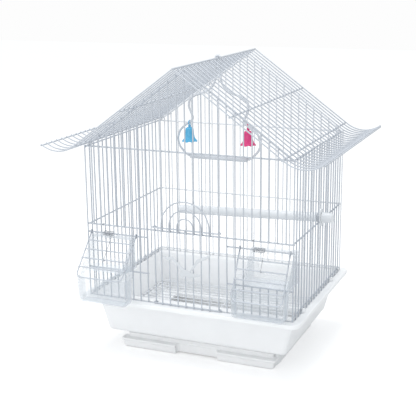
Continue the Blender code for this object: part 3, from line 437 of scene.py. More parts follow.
def solid(name, mesh, material, angle=32.0, rounding=0.0, segments=2):
    """A mesh object from a bmesh, with softly rounded edges where asked."""
    bmesh.ops.recalc_face_normals(mesh, faces=mesh.faces[:])
    data = bpy.data.meshes.new(name)
    mesh.to_mesh(data)
    mesh.free()
    data.materials.append(material)
    piece = bpy.data.objects.new(name, data)
    bpy.context.scene.collection.objects.link(piece)
    piece.location.y = SHIFT
    if rounding:
        bevel = piece.modifiers.new("Rounding", "BEVEL")
        bevel.width = rounding
        bevel.segments = segments
        bevel.limit_method = "ANGLE"
        bevel.angle_limit = math.radians(30.0)
        bevel.harden_normals = False
        bpy.context.view_layer.update()
        graph = bpy.context.evaluated_depsgraph_get()
        rounded = bpy.data.meshes.new_from_object(piece.evaluated_get(graph))
        piece.modifiers.clear()
        piece.data = rounded
    piece.data.shade_smooth()
    piece.data.set_sharp_from_angle(angle=math.radians(angle))
    return piece


def skin(mesh, loops, closed):
    ordered = loops + loops[:1] if closed else loops
    for loop, following in zip(ordered, ordered[1:]):
        for index in range(len(loop)):
            after = (index + 1) % len(loop)
            mesh.faces.new((loop[index], loop[after], following[after], following[index]))
    if not closed:
        mesh.faces.new(loops[0])
        mesh.faces.new(loops[-1])


def corner_points(low, high, radius, steps=10):
    """A rounded rectangle of points between two corners."""
    points = []
    quarters = (
        (high[0], high[1], 1, 1), (low[0], high[1], -1, 1),
        (low[0], low[1], -1, -1), (high[0], low[1], 1, -1),
    )
    for quarter, (x, y, side_x, side_y) in enumerate(quarters):
        for step in range(steps + 1):
            turn = (quarter + step / steps) * math.pi / 2.0
            px = x - side_x * radius + radius * math.cos(turn)
            points.append((px, y - side_y * radius + radius * math.sin(turn)))
    return points


def corner_loop(mesh, low, high, radius, height, steps=10):
    outline = corner_points(low, high, max(radius, 0.0002), steps)
    return [mesh.verts.new((x, y, height)) for x, y in outline]


def round_loop(mesh, half, radius, height, middle_y=0.0):
    low = (-half[0], middle_y - half[1])
    return corner_loop(mesh, low, (half[0], middle_y + half[1]), radius, height)


def block(mesh, low, high):
    bottom = [(low[0], low[1]), (high[0], low[1]), (high[0], high[1]), (low[0], high[1])]
    loops = [[mesh.verts.new((x, y, z)) for x, y in bottom] for z in (low[2], high[2])]
    skin(mesh, loops, closed=False)


def prism(mesh, outline, offset):
    near = [mesh.verts.new(point) for point in outline]
    far = [mesh.verts.new(Vector(point) + offset) for point in outline]
    skin(mesh, [near, far], closed=False)


def turned(mesh, profile, sides, place):
    rings = []
    for radius, height in profile:
        count = sides if radius else 1
        ring = []
        for side in range(count):
            turn = 2.0 * math.pi * side / sides
            point = Vector((radius * math.cos(turn), radius * math.sin(turn), height))
            ring.append(mesh.verts.new(place @ point))
        rings.append(ring)
    for ring, following in zip(rings, rings[1:]):
        for side in range(sides):
            after = (side + 1) % sides
            corners = [ring[side % len(ring)], ring[after % len(ring)]]
            corners += [following[after % len(following)], following[side % len(following)]]
            mesh.faces.new(dict.fromkeys(corners))


def helper(mesh):
    bmesh.ops.recalc_face_normals(mesh, faces=mesh.faces[:])
    data = bpy.data.meshes.new("helper")
    mesh.to_mesh(data)
    mesh.free()
    obj = bpy.data.objects.new("helper", data)
    bpy.context.scene.collection.objects.link(obj)
    return obj


def combined(first, others, operation="UNION"):
    base = helper(first)
    helpers = [helper(other) for other in others]
    for other in helpers:
        modifier = base.modifiers.new("Join", "BOOLEAN")
        modifier.operation = operation
        modifier.solver = "EXACT"
        modifier.object = other
    bpy.context.view_layer.update()
    result = bmesh.new()
    result.from_object(base, bpy.context.evaluated_depsgraph_get())
    for obj in [base] + helpers:
        bpy.data.objects.remove(obj, do_unlink=True)
    return result


def inset(half, amount):
    return (half[0] - amount, half[1] - amount)


# Wire panels
def column_x(column):
    if column in (0, FRONT_COLUMNS + 1):
        return -HALF_WIDTH if column == 0 else HALF_WIDTH
    return (column - (FRONT_COLUMNS + 1) / 2) * FRONT_PITCH


def gable_z(across):
    drop = (BAR_DEPTH + BAR_R + GAP + BAR_R) / math.cos(ROOF_PITCH)
    return RIDGE_HEIGHT - drop - math.tan(ROOF_PITCH) * abs(across)


def upright_top(across):
    if abs(across) < WIRE_R:
        return RIDGE_HEIGHT - RIDGE_R - GAP
    return min(gable_z(across) + UPRIGHT_PAST_GABLE, RIDGE_HEIGHT)


def gable_panel(name, node, uprights, bars, facing, coat):
    plane = facing * HALF_DEPTH
    inside = facing * (HALF_DEPTH - BAR_DEPTH)
    lines = [([(x, plane, low), (x, plane, high)], WIRE_R) for x, low, high in uprights]
    lines += [([(start, inside, z), (end, inside, z)], BAR_R) for start, end, z in bars]
    slope = [(x, inside, gable_z(x)) for x in (-HALF_WIDTH, -GABLE_BEND, -GABLE_BEND / 2.0)]
    slope += [(0.0, inside, gable_z(0.0) - GABLE_BEND_DROP)]
    slope += [(-x, y, z) for x, y, z in reversed(slope[:-1])]
    lines.append((slope, BAR_R))
    dress(wires(name, lines, material=coat, cut=GABLE_CUT), "cage", [node])


def panels():
    low = RIM_TOP - GROOVE_DEPTH + GAP
    uprights = []
    for column in range(FRONT_COLUMNS + 2):
        across = column_x(column)
        top = upright_top(across)
        at_feeder = abs(column_x(FEEDER_POST)) < abs(across) < HALF_WIDTH
        if at_feeder:
            uprights.append((across, low, FEEDER_BAR + BAR_OVERRUN))
        if at_feeder or abs(across) < DOORWAY_HALF:
            uprights.append((across, MIDDLE_BAR - BAR_OVERRUN, top))
        else:
            uprights.append((across, low, top))
    end = HALF_WIDTH + BAR_OVERRUN
    bars = [(-end, end, z) for z in (SILL_BAR, MIDDLE_BAR, EAVE_BAR)]
    for side in (-1, 1):
        for height in (FEEDER_BAR, HINGE_BAR):
            bars.append((side * end, side * (abs(column_x(BAR_POST)) - BAR_OVERRUN), height))
    gable_panel("front_wires", "front_panel", uprights, bars, -1, SHADE_DARKENED_WIRE)
    columns = [column_x(column) for column in range(FRONT_COLUMNS + 2)]
    bars = [(-end, end, z) for z in (SIDE_LOW_BAR, MIDDLE_BAR, EAVE_BAR)]
    uprights = [(x, low, upright_top(x)) for x in columns]
    gable_panel("back_wires", "back_panel", uprights, bars, 1, LIGHT_PAINTED_WIRE)
    pitch = 2.0 * HALF_DEPTH / SIDE_SPACES
    end = HALF_DEPTH - BAR_DEPTH - BAR_R - GAP
    for side, name in SIDES:
        lines = []
        for column in range(1, SIDE_SPACES):
            y = -HALF_DEPTH + column * pitch
            lines.append(([(side * HALF_WIDTH, y, z) for z in (low, WALL_TOP)], WIRE_R))
        inside = side * (HALF_WIDTH - BAR_DEPTH)
        for z in (SIDE_LOW_BAR, MIDDLE_BAR, EAVE_BAR):
            lines.append(([(inside, -end, z), (inside, end, z)], BAR_R))
        dress(wires(name + "_wires", lines, cut=SIDE_CUT), "cage", [name + "_panel"])


def roof():
    start = RIDGE_R + GAP
    top = Vector((start * math.cos(ROOF_PITCH), RIDGE_HEIGHT - start * math.sin(ROOF_PITCH)))
    foot = Vector((RAFTER_STRAIGHT, RIDGE_HEIGHT - RAFTER_STRAIGHT * math.tan(ROOF_PITCH)))
    centre = foot + EAVE_RADIUS * Vector((math.sin(ROOF_PITCH), math.cos(ROOF_PITCH)))
    line = [top]
    for turn in arc(14, -ROOF_PITCH, ROOF_PITCH):
        line.append(centre + EAVE_RADIUS * Vector((math.sin(turn), -math.cos(turn))))
    under = Vector((-math.sin(ROOF_PITCH), -math.cos(ROOF_PITCH))) * BAR_DEPTH
    seats = [Vector((x, RIDGE_HEIGHT - x * math.tan(ROOF_PITCH))) + under for x in PURLINS]
    turn = ROOF_PITCH - EAVE_ROD_BACK / EAVE_RADIUS
    outward = Vector((math.sin(turn), -math.cos(turn)))
    seats.append(centre + outward * (EAVE_RADIUS + BAR_DEPTH) - Vector((EAVE_ROD_INSET, 0.0)))
    end = ROOF_DEPTH / 2.0 + BAR_OVERRUN - WIRE_R
    for side, name in SIDES:
        lines = []
        for count in range(RAFTERS):
            y = (count / (RAFTERS - 1) - 0.5) * (ROOF_DEPTH - 2.0 * WIRE_R)
            lines.append(([(side * point.x, y, point.y) for point in line], WIRE_R))
        for seat in seats:
            lines.append(([(side * seat.x, -end, seat.y), (side * seat.x, end, seat.y)], BAR_R))
        dress(wires(f"roof_{name}_wires", lines), "cage", ["roof_" + name])
    half = ROOF_DEPTH / 2.0
    rod = wires("ridge_wire", [([(0.0, y, RIDGE_HEIGHT) for y in (-half, half)], RIDGE_R)])
    dress(rod, "cage", ["ridge_rod"])


# Base
def ledge_room():
    """Half of the room in the tub at the height of its ledge."""
    slope = (TUB_UNDER_RIM[0] - TUB_BOTTOM[0]) / (RIM_TOP - RIM_THICKNESS - TUB_BOTTOM_Z)
    return (TUB_BOTTOM[0] - TUB_WALL + slope * (LEDGE_Z - TUB_BOTTOM_Z), TUB_BOTTOM[1] - TUB_WALL)


def tub():
    wires_half = (HALF_WIDTH, HALF_DEPTH)
    groove_out = inset(wires_half, -GROOVE_SIDE)
    groove_in = inset(groove_out, GROOVE_WIDTH)
    rim_bottom = RIM_TOP - RIM_THICKNESS
    sections = [
        (groove_out, GROOVE_RADIUS, RIM_TOP - 0.0004),
        (inset(groove_out, -0.0004), GROOVE_RADIUS + 0.0004, RIM_TOP),
    ]
    for turn in arc(4, math.pi / 2.0, 0.0):
        back = RIM_EDGE * (1.0 - math.cos(turn))
        height = RIM_TOP - RIM_EDGE * (1.0 - math.sin(turn))
        sections.append((inset(RIM_OUTER, back), RIM_RADIUS - back, height))
    for back, rise in RIM_UNDERSIDE:
        sections.append((inset(RIM_OUTER, back), RIM_RADIUS - back, rim_bottom + rise))
    for out, rise in TUB_NECK:
        sections.append((inset(TUB_UNDER_RIM, -out), TUB_RADIUS + out, rim_bottom + rise))
    sections.append((inset(TUB_UNDER_RIM, -0.0002), TUB_RADIUS, rim_bottom))
    for turn in arc(5, 0.0, math.pi / 2.0):
        back = TUB_ROUNDING * (1.0 - math.cos(turn)) - 0.0008
        height = TUB_BOTTOM_Z + TUB_ROUNDING * (1.0 - math.sin(turn))
        sections.append((inset(TUB_BOTTOM, back), TUB_RADIUS - max(back, 0.0), height))
    sections += [
        (FLOOR_OPENING, TUB_RADIUS / 2, TUB_BOTTOM_Z),
        (FLOOR_OPENING, TUB_RADIUS / 2, TUB_BOTTOM_Z + TUB_FLOOR),
        (LEDGE, TUB_RADIUS / 2, TUB_BOTTOM_Z + TUB_FLOOR),
        (LEDGE, TUB_RADIUS / 2, LEDGE_Z),
        (ledge_room(), TUB_RADIUS - TUB_WALL, LEDGE_Z),
        (inset(TUB_UNDER_RIM, TUB_WALL), TUB_RADIUS - TUB_WALL, RIM_TOP - 0.0010),
        (inset(TUB_UNDER_RIM, TUB_WALL - 0.0008), TUB_RADIUS - TUB_WALL, RIM_TOP),
        (groove_in, GROOVE_RADIUS, RIM_TOP),
        (groove_in, GROOVE_RADIUS, RIM_TOP - GROOVE_DEPTH),
        (groove_out, GROOVE_RADIUS, RIM_TOP - GROOVE_DEPTH),
    ]
    ring = bmesh.new()
    skin(ring, [round_loop(ring, half, radius, z) for half, radius, z in sections], closed=True)
    inner = inset(PLINTH, PLINTH_WALL)
    rail = inset(inner, RAIL_WIDTH)
    top = TUB_BOTTOM_Z + TUB_FLOOR / 2.0
    inner_radius = PLINTH_RADIUS - PLINTH_WALL
    sections = (
        (inset(PLINTH, 0.0006), PLINTH_RADIUS, 0.0), (PLINTH, PLINTH_RADIUS, 0.0008),
        (PLINTH, PLINTH_RADIUS, top), (inner, inner_radius, top), (inner, inner_radius, RAIL_HEIGHT),
        (rail, inner_radius, RAIL_HEIGHT), (rail, inner_radius, 0.0),
    )
    plinth = bmesh.new()
    loops = [round_loop(plinth, half, radius, z, PLINTH_MIDDLE_Y) for half, radius, z in sections]
    skin(plinth, loops, closed=True)
    mouth = bmesh.new()
    front = PLINTH_MIDDLE_Y - PLINTH[1]
    block(mouth, (-MOUTH_HALF, front - 0.012, -0.002), (MOUTH_HALF, front + 0.012, MOUTH_TOP))
    body = combined(combined(ring, [plinth]), [mouth], "DIFFERENCE")
    dress(solid("tub", body, TUB_PLASTIC), "cage", ["base_pan"])


def tray():
    back = PLINTH_MIDDLE_Y + PLINTH[1] - PLINTH_WALL - TRAY_BACK_PLAY
    half = (MOUTH_HALF - TRAY_SIDE_PLAY, (back - TRAY_START) / 2.0)
    middle = (back + TRAY_START) / 2.0
    low = RAIL_HEIGHT + GAP
    inner = inset(half, TRAY_WALL)
    box = bmesh.new()
    sections = (
        (half, 0.004, low), (half, 0.004, TRAY_HEIGHT - 0.0005),
        (inset(half, 0.0005), 0.0036, TRAY_HEIGHT), (inset(inner, -0.0004), 0.0028, TRAY_HEIGHT),
        (inner, 0.0024, TRAY_HEIGHT - 0.0004), (inner, 0.0024, low + TRAY_WALL),
    )
    skin(box, [round_loop(box, size, radius, z, middle) for size, radius, z in sections], closed=False)
    front = bmesh.new()
    half_y = (TRAY_REAR - TRAY_FACE) / 2.0
    mid = (TRAY_REAR + TRAY_FACE) / 2.0
    loops = []
    for half_x, back_off, radius, z, shift in TRAY_FRONT:
        loops.append(round_loop(front, (half_x, half_y - back_off), radius, z, mid + shift))
    skin(front, loops, closed=False)
    recess = bmesh.new()
    near = (RECESS_MIDDLE - RECESS_HALF, TRAY_FACE - 0.012)
    far = (RECESS_MIDDLE + RECESS_HALF, TRAY_FACE + RECESS_DEPTH)
    loops = [corner_loop(recess, near, far, RECESS_RADIUS, z) for z in (-0.006, TRAY_HEIGHT)]
    skin(recess, loops, closed=False)
    scoop = bmesh.new()
    block(scoop, (near[0], TRAY_FACE - 0.009, -0.0035), (far[0], -0.070, 0.0025))
    cut = combined(front, [recess, scoop], "DIFFERENCE")
    piece = solid("tray", combined(box, [cut]), TRAY_PLASTIC_PAINTED_LIGHT)
    dress(piece, "tray", ["slide_tray"])


def grille():
    half = inset(ledge_room(), GRILLE_ROD_R + GRILLE_PLAY)
    height = LEDGE_Z + GAP + GRILLE_ROD_R
    corners = corner_points((-half[0], -half[1]), half, GRILLE_CORNER)
    outline = [(x, y, height) for x, y in corners]
    top = height + GRILLE_ROD_R + WIRE_R - WELD
    end = half[0] + BAR_OVERRUN
    lines = []
    for count in range(GRILLE_WIRES):
        y = (count - GRILLE_WIRES // 2) * GRILLE_PITCH
        lines.append(([(-end, y, top), (end, y, top)], WIRE_R))
    lines.append(([(0.0, -half[1], height), (0.0, half[1], height)], GRILLE_ROD_R))
    piece = wires("grille_wires", lines, [(outline, GRILLE_ROD_R)], LIGHT_PAINTED_WIRE)
    dress(piece, "cage", ["floor_grille"])


def clips():
    start = HALF_WIDTH + WIRE_R + GAP
    foot = RIM_TOP + GAP
    for side, side_name in SIDES:
        for y, place in CLIP_PLACES:
            clip = bmesh.new()
            corner = (side * (start + CLIP_THICKNESS), y + CLIP_HALF, foot + CLIP_HEIGHT)
            block(clip, (side * start, y - CLIP_HALF, foot), corner)
            slot = bmesh.new()
            corner = (side * (start + 0.0060), y + CLIP_SLOT_HALF, RIM_TOP + 0.0040)
            block(slot, (side * (start + 0.0020), y - CLIP_SLOT_HALF, RIM_TOP + 0.0018), corner)
            name = f"{side_name}_{place}"
            body = combined(clip, [slot], "DIFFERENCE")
            piece = solid("clip_" + name, body, FITTING, rounding=0.0006)
            dress(piece, "cage", ["rim_clip_" + name])


# Door
def door():
    reach = WIRE_R + DOOR_PLAY + BAR_R
    y = -HALF_DEPTH - reach - BAR_DEPTH
    foot = RIM_TOP + GAP
    lines = []
    for height in (foot + BAR_R, DOOR_TOP_BAR):
        curl = []
        for turn in arc(12, math.radians(215.0), 0.0):
            x = DOOR_GUIDE + reach * math.sin(turn)
            curl.append((x, -HALF_DEPTH - reach * math.cos(turn), height))
        lines.append((curl + [(-x, py, z) for x, py, z in reversed(curl)], BAR_R))
    lines.append(([(0.0, y, foot), (0.0, y, DOOR_TOP_BAR + BAR_OVERRUN)], WIRE_R))
    for across in DOOR_ARCHES:
        line = [(across, y, foot)]
        for turn in arc(22, 0.0, math.pi):
            line.append((across * math.cos(turn), y, DOOR_ARCH_BASE + across * math.sin(turn)))
        line.append((-across, y, foot))
        lines.append((line, WIRE_R))
    dress(wires("door_wires", lines, cut=DOOR_CUT), "door", ["front_door"])
    bird = bmesh.new()
    front = y - WIRE_R - GAP
    prism(bird, [(x, front, z) for x, z in BIRD_OUTLINE], Y_AXIS * -BIRD_THICKNESS)
    piece = solid("flying_bird", bird, BIRD_PLASTIC, rounding=0.00045, segments=3)
    dress(piece, "door", ["door_ornament"])


# Feeders
def cup_rim_y():
    drop = HINGE_BAR - CUP_RIM_Z
    plane = drop * math.tan(FLAP_ANGLE_RIGHT) - (WIRE_R + GAP) / math.cos(FLAP_ANGLE_RIGHT) - GAP
    return BAR_DEPTH - plane


def flap_angle_left():
    drop = HINGE_BAR - CUP_RIM_Z
    out = BAR_DEPTH - cup_rim_y() + CUP_OUT_LEFT
    return math.atan2(out, drop) + math.asin((WIRE_R + 2.0 * GAP) / math.hypot(out, drop))


def trough(mesh, middle, half, taper, front, back, z_range, radius, rounding):
    """A tub with rounded corners and foot; front is (at the foot, at the top)."""
    low, high = z_range
    loops = []
    for turn in arc(5, math.pi / 2.0, 0.0):
        rise = rounding * (1.0 - math.sin(turn))
        back_off = rounding * (1.0 - math.cos(turn))
        share = rise / (high - low)
        reach = half - taper * (1.0 - share) - back_off
        y = front[0] + (front[1] - front[0]) * share + back_off
        loops.append(corner_loop(mesh, (middle - reach, y), (middle + reach, back), radius, low + rise, 6))
    loops.append(corner_loop(mesh, (middle - half, front[1]), (middle + half, back), radius, high, 6))
    skin(mesh, loops, closed=False)


def cup(name, node, body, side, out):
    middle = side * CUP_X
    y0 = -HALF_DEPTH - out
    rim = y0 + cup_rim_y()
    back = y0 + CUP_BACK_Y
    rear = y0 + CUP_REAR_Y
    wall = CUP_WALL
    rise = (CUP_HOOD_TOP - CUP_RIM_Z) / (CUP_HOOD_Y - CUP_SHOULDER_Y)
    meet = CUP_RIM_Z + rise * (CUP_BACK_Y - CUP_SHOULDER_Y)
    shell = bmesh.new()
    fronts = (y0 + CUP_FOOT_Y, rim)
    z_range = (CUP_FOOT_Z, CUP_RIM_Z)
    trough(shell, middle, CUP_HALF, CUP_TAPER, fronts, back, z_range, CUP_RADIUS, CUP_RADIUS)
    cheeks = bmesh.new()
    low = CUP_RIM_Z - CUP_OVERLAP
    shoulder = y0 + CUP_SHOULDER_Y
    outline = [(shoulder - CUP_OVERLAP, low), (back, low), (back, meet), (shoulder, CUP_RIM_Z)]
    prism(cheeks, [(middle - CUP_HALF, y, z) for y, z in outline], X_AXIS * 2.0 * CUP_HALF)
    inner_end = middle + side * (CUP_NECK_STEP - CUP_HALF)
    outer_end = middle + side * CUP_HALF
    hood = bmesh.new()
    start = back - CUP_OVERLAP
    outline = [(start, CUP_NECK_Z), (rear, CUP_NECK_Z), (rear, CUP_HOOD_TOP)]
    outline += [(y0 + CUP_HOOD_Y, CUP_HOOD_TOP), (start, meet - rise * CUP_OVERLAP)]
    prism(hood, [(inner_end, y, z) for y, z in outline], X_AXIS * (outer_end - inner_end))
    joined = combined(shell, [cheeks, hood])
    well = bmesh.new()
    depth = CUP_RIM_Z - CUP_FOOT_Z
    lean = (cup_rim_y() - CUP_FOOT_Y) * wall / depth
    fronts = (y0 + CUP_FOOT_Y + lean + wall, rim + wall)
    z_range = (CUP_FOOT_Z + wall, CUP_RIM_Z + CUP_OVERLAP)
    taper = CUP_TAPER * (1.0 - wall / depth)
    trough(well, middle, CUP_HALF - wall, taper, fronts, back - wall, z_range, WELL_RADIUS, WELL_ROUNDING)
    above = bmesh.new()
    reach = CUP_HALF - wall - CUP_STEP
    corner = (middle - reach, rim + wall + CUP_STEP, CUP_RIM_Z - CUP_OVERLAP)
    block(above, corner, (middle + reach, back - wall - CUP_STEP, CUP_HOOD_TOP + 0.020))
    passage = bmesh.new()
    ends = sorted((inner_end + side * wall, outer_end - side * wall))
    corner = (ends[0], rim + 2.0 * wall, CUP_NECK_Z + wall)
    block(passage, corner, (ends[1], rear - wall, CUP_HOOD_TOP - wall))
    window = bmesh.new()
    centre = (inner_end + outer_end) / 2.0
    low = (centre - WINDOW_HALF[0], WINDOW_Z - WINDOW_HALF[1])
    high = (centre + WINDOW_HALF[0], WINDOW_Z + WINDOW_HALF[1])
    outline = corner_points(low, high, WINDOW_RADIUS, 6)
    prism(window, [(x, rear - 2.0 * wall, z) for x, z in outline], Y_AXIS * 4.0 * wall)
    open_cup = combined(joined, [well, above, passage, window], "DIFFERENCE")
    piece = solid(name, open_cup, CLEAR, rounding=0.0003, segments=2)
    dress(piece, body, [node])


def flap(name, node, body, middle, angle):
    ring_r = BAR_R + RING_CLEAR + WIRE_R
    half = []
    for turn in arc(14, math.radians(250.0), math.radians(-90.0)):
        half.append((FLAP_HALF, ring_r * math.cos(turn), ring_r * math.sin(turn)))
    for turn in arc(6, 0.0, math.pi / 2.0):
        x = FLAP_HALF - FLAP_CORNER * (1.0 - math.cos(turn))
        half.append((x, 0.0, -FLAP_LENGTH + FLAP_CORNER * (1.0 - math.sin(turn))))
    lines = [(half + [(-x, y, z) for x, y, z in reversed(half)], WIRE_R)]
    end = FLAP_HALF + BAR_OVERRUN
    for reach in FLAP_CROSS:
        y = -(2.0 * WIRE_R - WELD)
        lines.append(([(-end, y, -reach), (end, y, -reach)], WIRE_R))
    place = Matrix.Translation((middle, HINGE_Y, HINGE_BAR)) @ Matrix.Rotation(-angle, 4, "X")
    lines = [([place @ Vector(point) for point in points], radius) for points, radius in lines]
    dress(wires(name, lines, cut=SIDE_CUT), body, [node])


def sweep(mesh, points, radius, sides, reference):
    """A round tube along the points, with rounded ends."""
    points = [Vector(point) for point in points]
    rings = []
    for index, point in enumerate(points):
        before = points[max(index - 1, 0)]
        after = points[min(index + 1, len(points) - 1)]
        along = (after - before).normalized()
        first = (reference - along * reference.dot(along)).normalized()
        second = along.cross(first)
        share = 0.5 if index in (0, len(points) - 1) else 1.0
        ring = []
        for side in range(sides):
            turn = 2.0 * math.pi * side / sides
            out = first * math.cos(turn) + second * math.sin(turn)
            ring.append(mesh.verts.new(point + out * radius * share))
        rings.append(ring)
    skin(mesh, rings, closed=False)


def spring(name, node, middle, angle, cross):
    """Upper arm hooked on the middle bar, coils round the hinge rod, lower arm hooked on a cross wire."""
    near = middle - SPRING_LENGTH
    far = middle
    rest_y = HINGE_Y - BAR_R - GAP - SPRING_R
    hook_r = BAR_R + GAP + SPRING_R
    points = []
    for turn in arc(8, math.radians(-20.0), math.radians(180.0)):
        y = HINGE_Y + hook_r * math.cos(turn)
        points.append(Vector((near, y, MIDDLE_BAR + hook_r * math.sin(turn))))
    points.append(Vector((near, rest_y, MIDDLE_BAR - 2.0 * BAR_R)))
    total = 2.0 * math.pi * SPRING_COILS - angle
    steps = SPRING_COILS * 20
    for step in range(steps + 1):
        turn = -total * step / steps
        x = near + (far - near) * step / steps
        y = HINGE_Y - SPRING_MEAN_R * math.cos(turn)
        points.append(Vector((x, y, HINGE_BAR + SPRING_MEAN_R * math.sin(turn))))
    down = Vector((0.0, -math.sin(angle), -math.cos(angle)))
    outward = Vector((0.0, -math.cos(angle), math.sin(angle)))
    start = points[-1].copy()
    points.append(start + down * SPRING_R * 2.0)
    for share in (0.25, 0.5, 0.75, 0.92):
        points.append(start + down * cross * share)
    hold = Vector((far, HINGE_Y, HINGE_BAR)) + down * cross + outward * (2.0 * WIRE_R - WELD)
    curl = SPRING_MEAN_R - 2.0 * WIRE_R + WELD
    for turn in arc(8, 0.0, math.radians(190.0)):
        points.append(hold + (outward * math.cos(turn) + down * math.sin(turn)) * curl)
    mesh = bmesh.new()
    sweep(mesh, points, SPRING_R, 10, X_AXIS)
    piece = solid(name, mesh, STEEL, angle=70.0)
    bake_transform(piece)
    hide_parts(node)


# Perch
def perch():
    tilt = Matrix.Rotation(-PERCH_TILT, 4, "Y") @ Matrix.Rotation(math.pi / 2.0, 4, "Y")
    place = Matrix.Translation((HALF_WIDTH, 0.0, MIDDLE_BAR + BAR_R + GAP + PERCH_R)) @ tilt
    profile = [(0.0, PERCH_END)]
    for turn in arc(6, 0.0, math.pi / 2.0):
        radius = PERCH_R * 0.5 * (1.0 + math.sin(turn))
        profile.append((radius, PERCH_END + PERCH_ROUNDING * (1.0 - math.cos(turn))))
    profile += [(PERCH_R, PERCH_SHOULDER), (NECK_R, PERCH_SHOULDER)]
    profile += [(NECK_R, NECK_LENGTH), (0.0, NECK_LENGTH)]
    rod = bmesh.new()
    turned(rod, profile, 40, place)
    dress(solid("perch", rod, PERCH_PLASTIC), "cage", ["perch_rod"])
    plate = bmesh.new()
    loops = []
    bore = NECK_R + GAP
    hole = (bore, bore)
    sections = (
        (0.0, FLANGE_HALF), (FLANGE_THICKNESS - 0.0004, FLANGE_HALF),
        (FLANGE_THICKNESS, inset(FLANGE_HALF, 0.0004)), (FLANGE_THICKNESS, hole), (0.0, hole),
    )
    for height, half in sections:
        loop = []
        for step in range(64):
            angle = 2.0 * math.pi * step / 64
            point = Vector((half[1] * math.cos(angle), half[0] * math.sin(angle), FLANGE_SEAT + height))
            loop.append(plate.verts.new(place @ point))
        loops.append(loop)
    skin(plate, loops, closed=True)
    dress(solid("flange", plate, PERCH_PLASTIC), "cage", ["perch_flange"])
    start = FLANGE_SEAT + FLANGE_THICKNESS + GAP
    depth = NECK_LENGTH + GAP
    profile = [(0.0, depth), (bore, depth), (bore, start)]
    profile += [(radius, start + height) for radius, height in KNOB]
    nut = bmesh.new()
    turned(nut, profile, 48, place)
    dress(solid("knob", nut, PERCH_PLASTIC), "cage", ["perch_knob"])


# Swing and bells
def flowing(points, steps=5):
    """A smooth line through the points."""
    ends = [2.0 * points[0] - points[1]] + points + [2.0 * points[-1] - points[-2]]
    line = []
    for a, b, c, d in zip(ends, ends[1:], ends[2:], ends[3:]):
        for step in range(steps):
            t = step / steps
            square = 2.0 * a - 5.0 * b + 4.0 * c - d
            cube = 3.0 * b - a - 3.0 * c + d
            line.append(0.5 * (2.0 * b + (c - a) * t + square * t * t + cube * t ** 3))
    return line + [points[-1]]


def swing():
    reach = RIDGE_R + GAP + SWING_R
    points = [Vector((x, 0.0, z)) for x, z in SWING_HALF]
    for turn in arc(6, 0.0, math.pi):
        points.append(Vector((reach * math.cos(turn), 0.0, RIDGE_HEIGHT + reach * math.sin(turn))))
    points += [Vector((-x, 0.0, z)) for x, z in reversed(SWING_HALF)]
    piece = wires("swing_wire", [(flowing(points), SWING_R)], material=SWING_PLASTIC)
    dress(piece, "swing", ["swing_frame"])
    bar_r = SWING_BAR_R
    bore = SWING_R + SWING_SOCKET_PLAY
    end = SWING_BAR_HALF
    profile = [(0.0, SWING_SOCKET - end), (bore, SWING_SOCKET - end), (bore, -end)]
    profile += [(bar_r - 0.0010, -end), (bar_r - 0.0003, 0.0003 - end), (bar_r, 0.0010 - end)]
    profile += [(r, -z) for r, z in reversed(profile)]
    bar = bmesh.new()
    place = Matrix.Translation((0.0, 0.0, SWING_HALF[0][1])) @ Matrix.Rotation(math.pi / 2.0, 4, "Y")
    turned(bar, profile, 36, place)
    dress(solid("swing_bar", bar, SWING_PLASTIC), "swing", ["swing_perch"])


def bell(name, node, body, side, material):
    hang = Vector((side * BELL_X, 0.0, BELL_Z))
    profile = ((0.0, BELL_OUTER[0][1]),) + BELL_OUTER + BELL_INNER
    shell = bmesh.new()
    turned(shell, profile, 60, Matrix.Identity(4))
    for vert in shell.verts:
        flare = max(0.0, (SCALLOP_START - vert.co.z) / SCALLOP_REACH)
        dip = flare * (1.0 - math.cos(SCALLOPS * math.atan2(vert.co.y, vert.co.x)))
        vert.co.x *= 1.0 - SCALLOP_SHARE * dip
        vert.co.y *= 1.0 - SCALLOP_SHARE * dip
        vert.co.z += SCALLOP_LIFT * dip
    bmesh.ops.translate(shell, verts=shell.verts[:], vec=hang)
    hoop = bmesh.new()
    loops = []
    for step in range(32):
        turn = 2.0 * math.pi * step / 32
        out = Vector((0.0, math.cos(turn), math.sin(turn)))
        ring = []
        for part in range(10):
            roll = 2.0 * math.pi * part / 10
            reach = HOOP_R + HOOP_WIRE_R * math.cos(roll)
            ring.append(hoop.verts.new(hang + out * reach + X_AXIS * HOOP_WIRE_R * math.sin(roll)))
        loops.append(ring)
    skin(hoop, loops, closed=True)
    piece = solid(name, combined(shell, [hoop]), material, angle=40.0)
    dress(piece, body, [node])


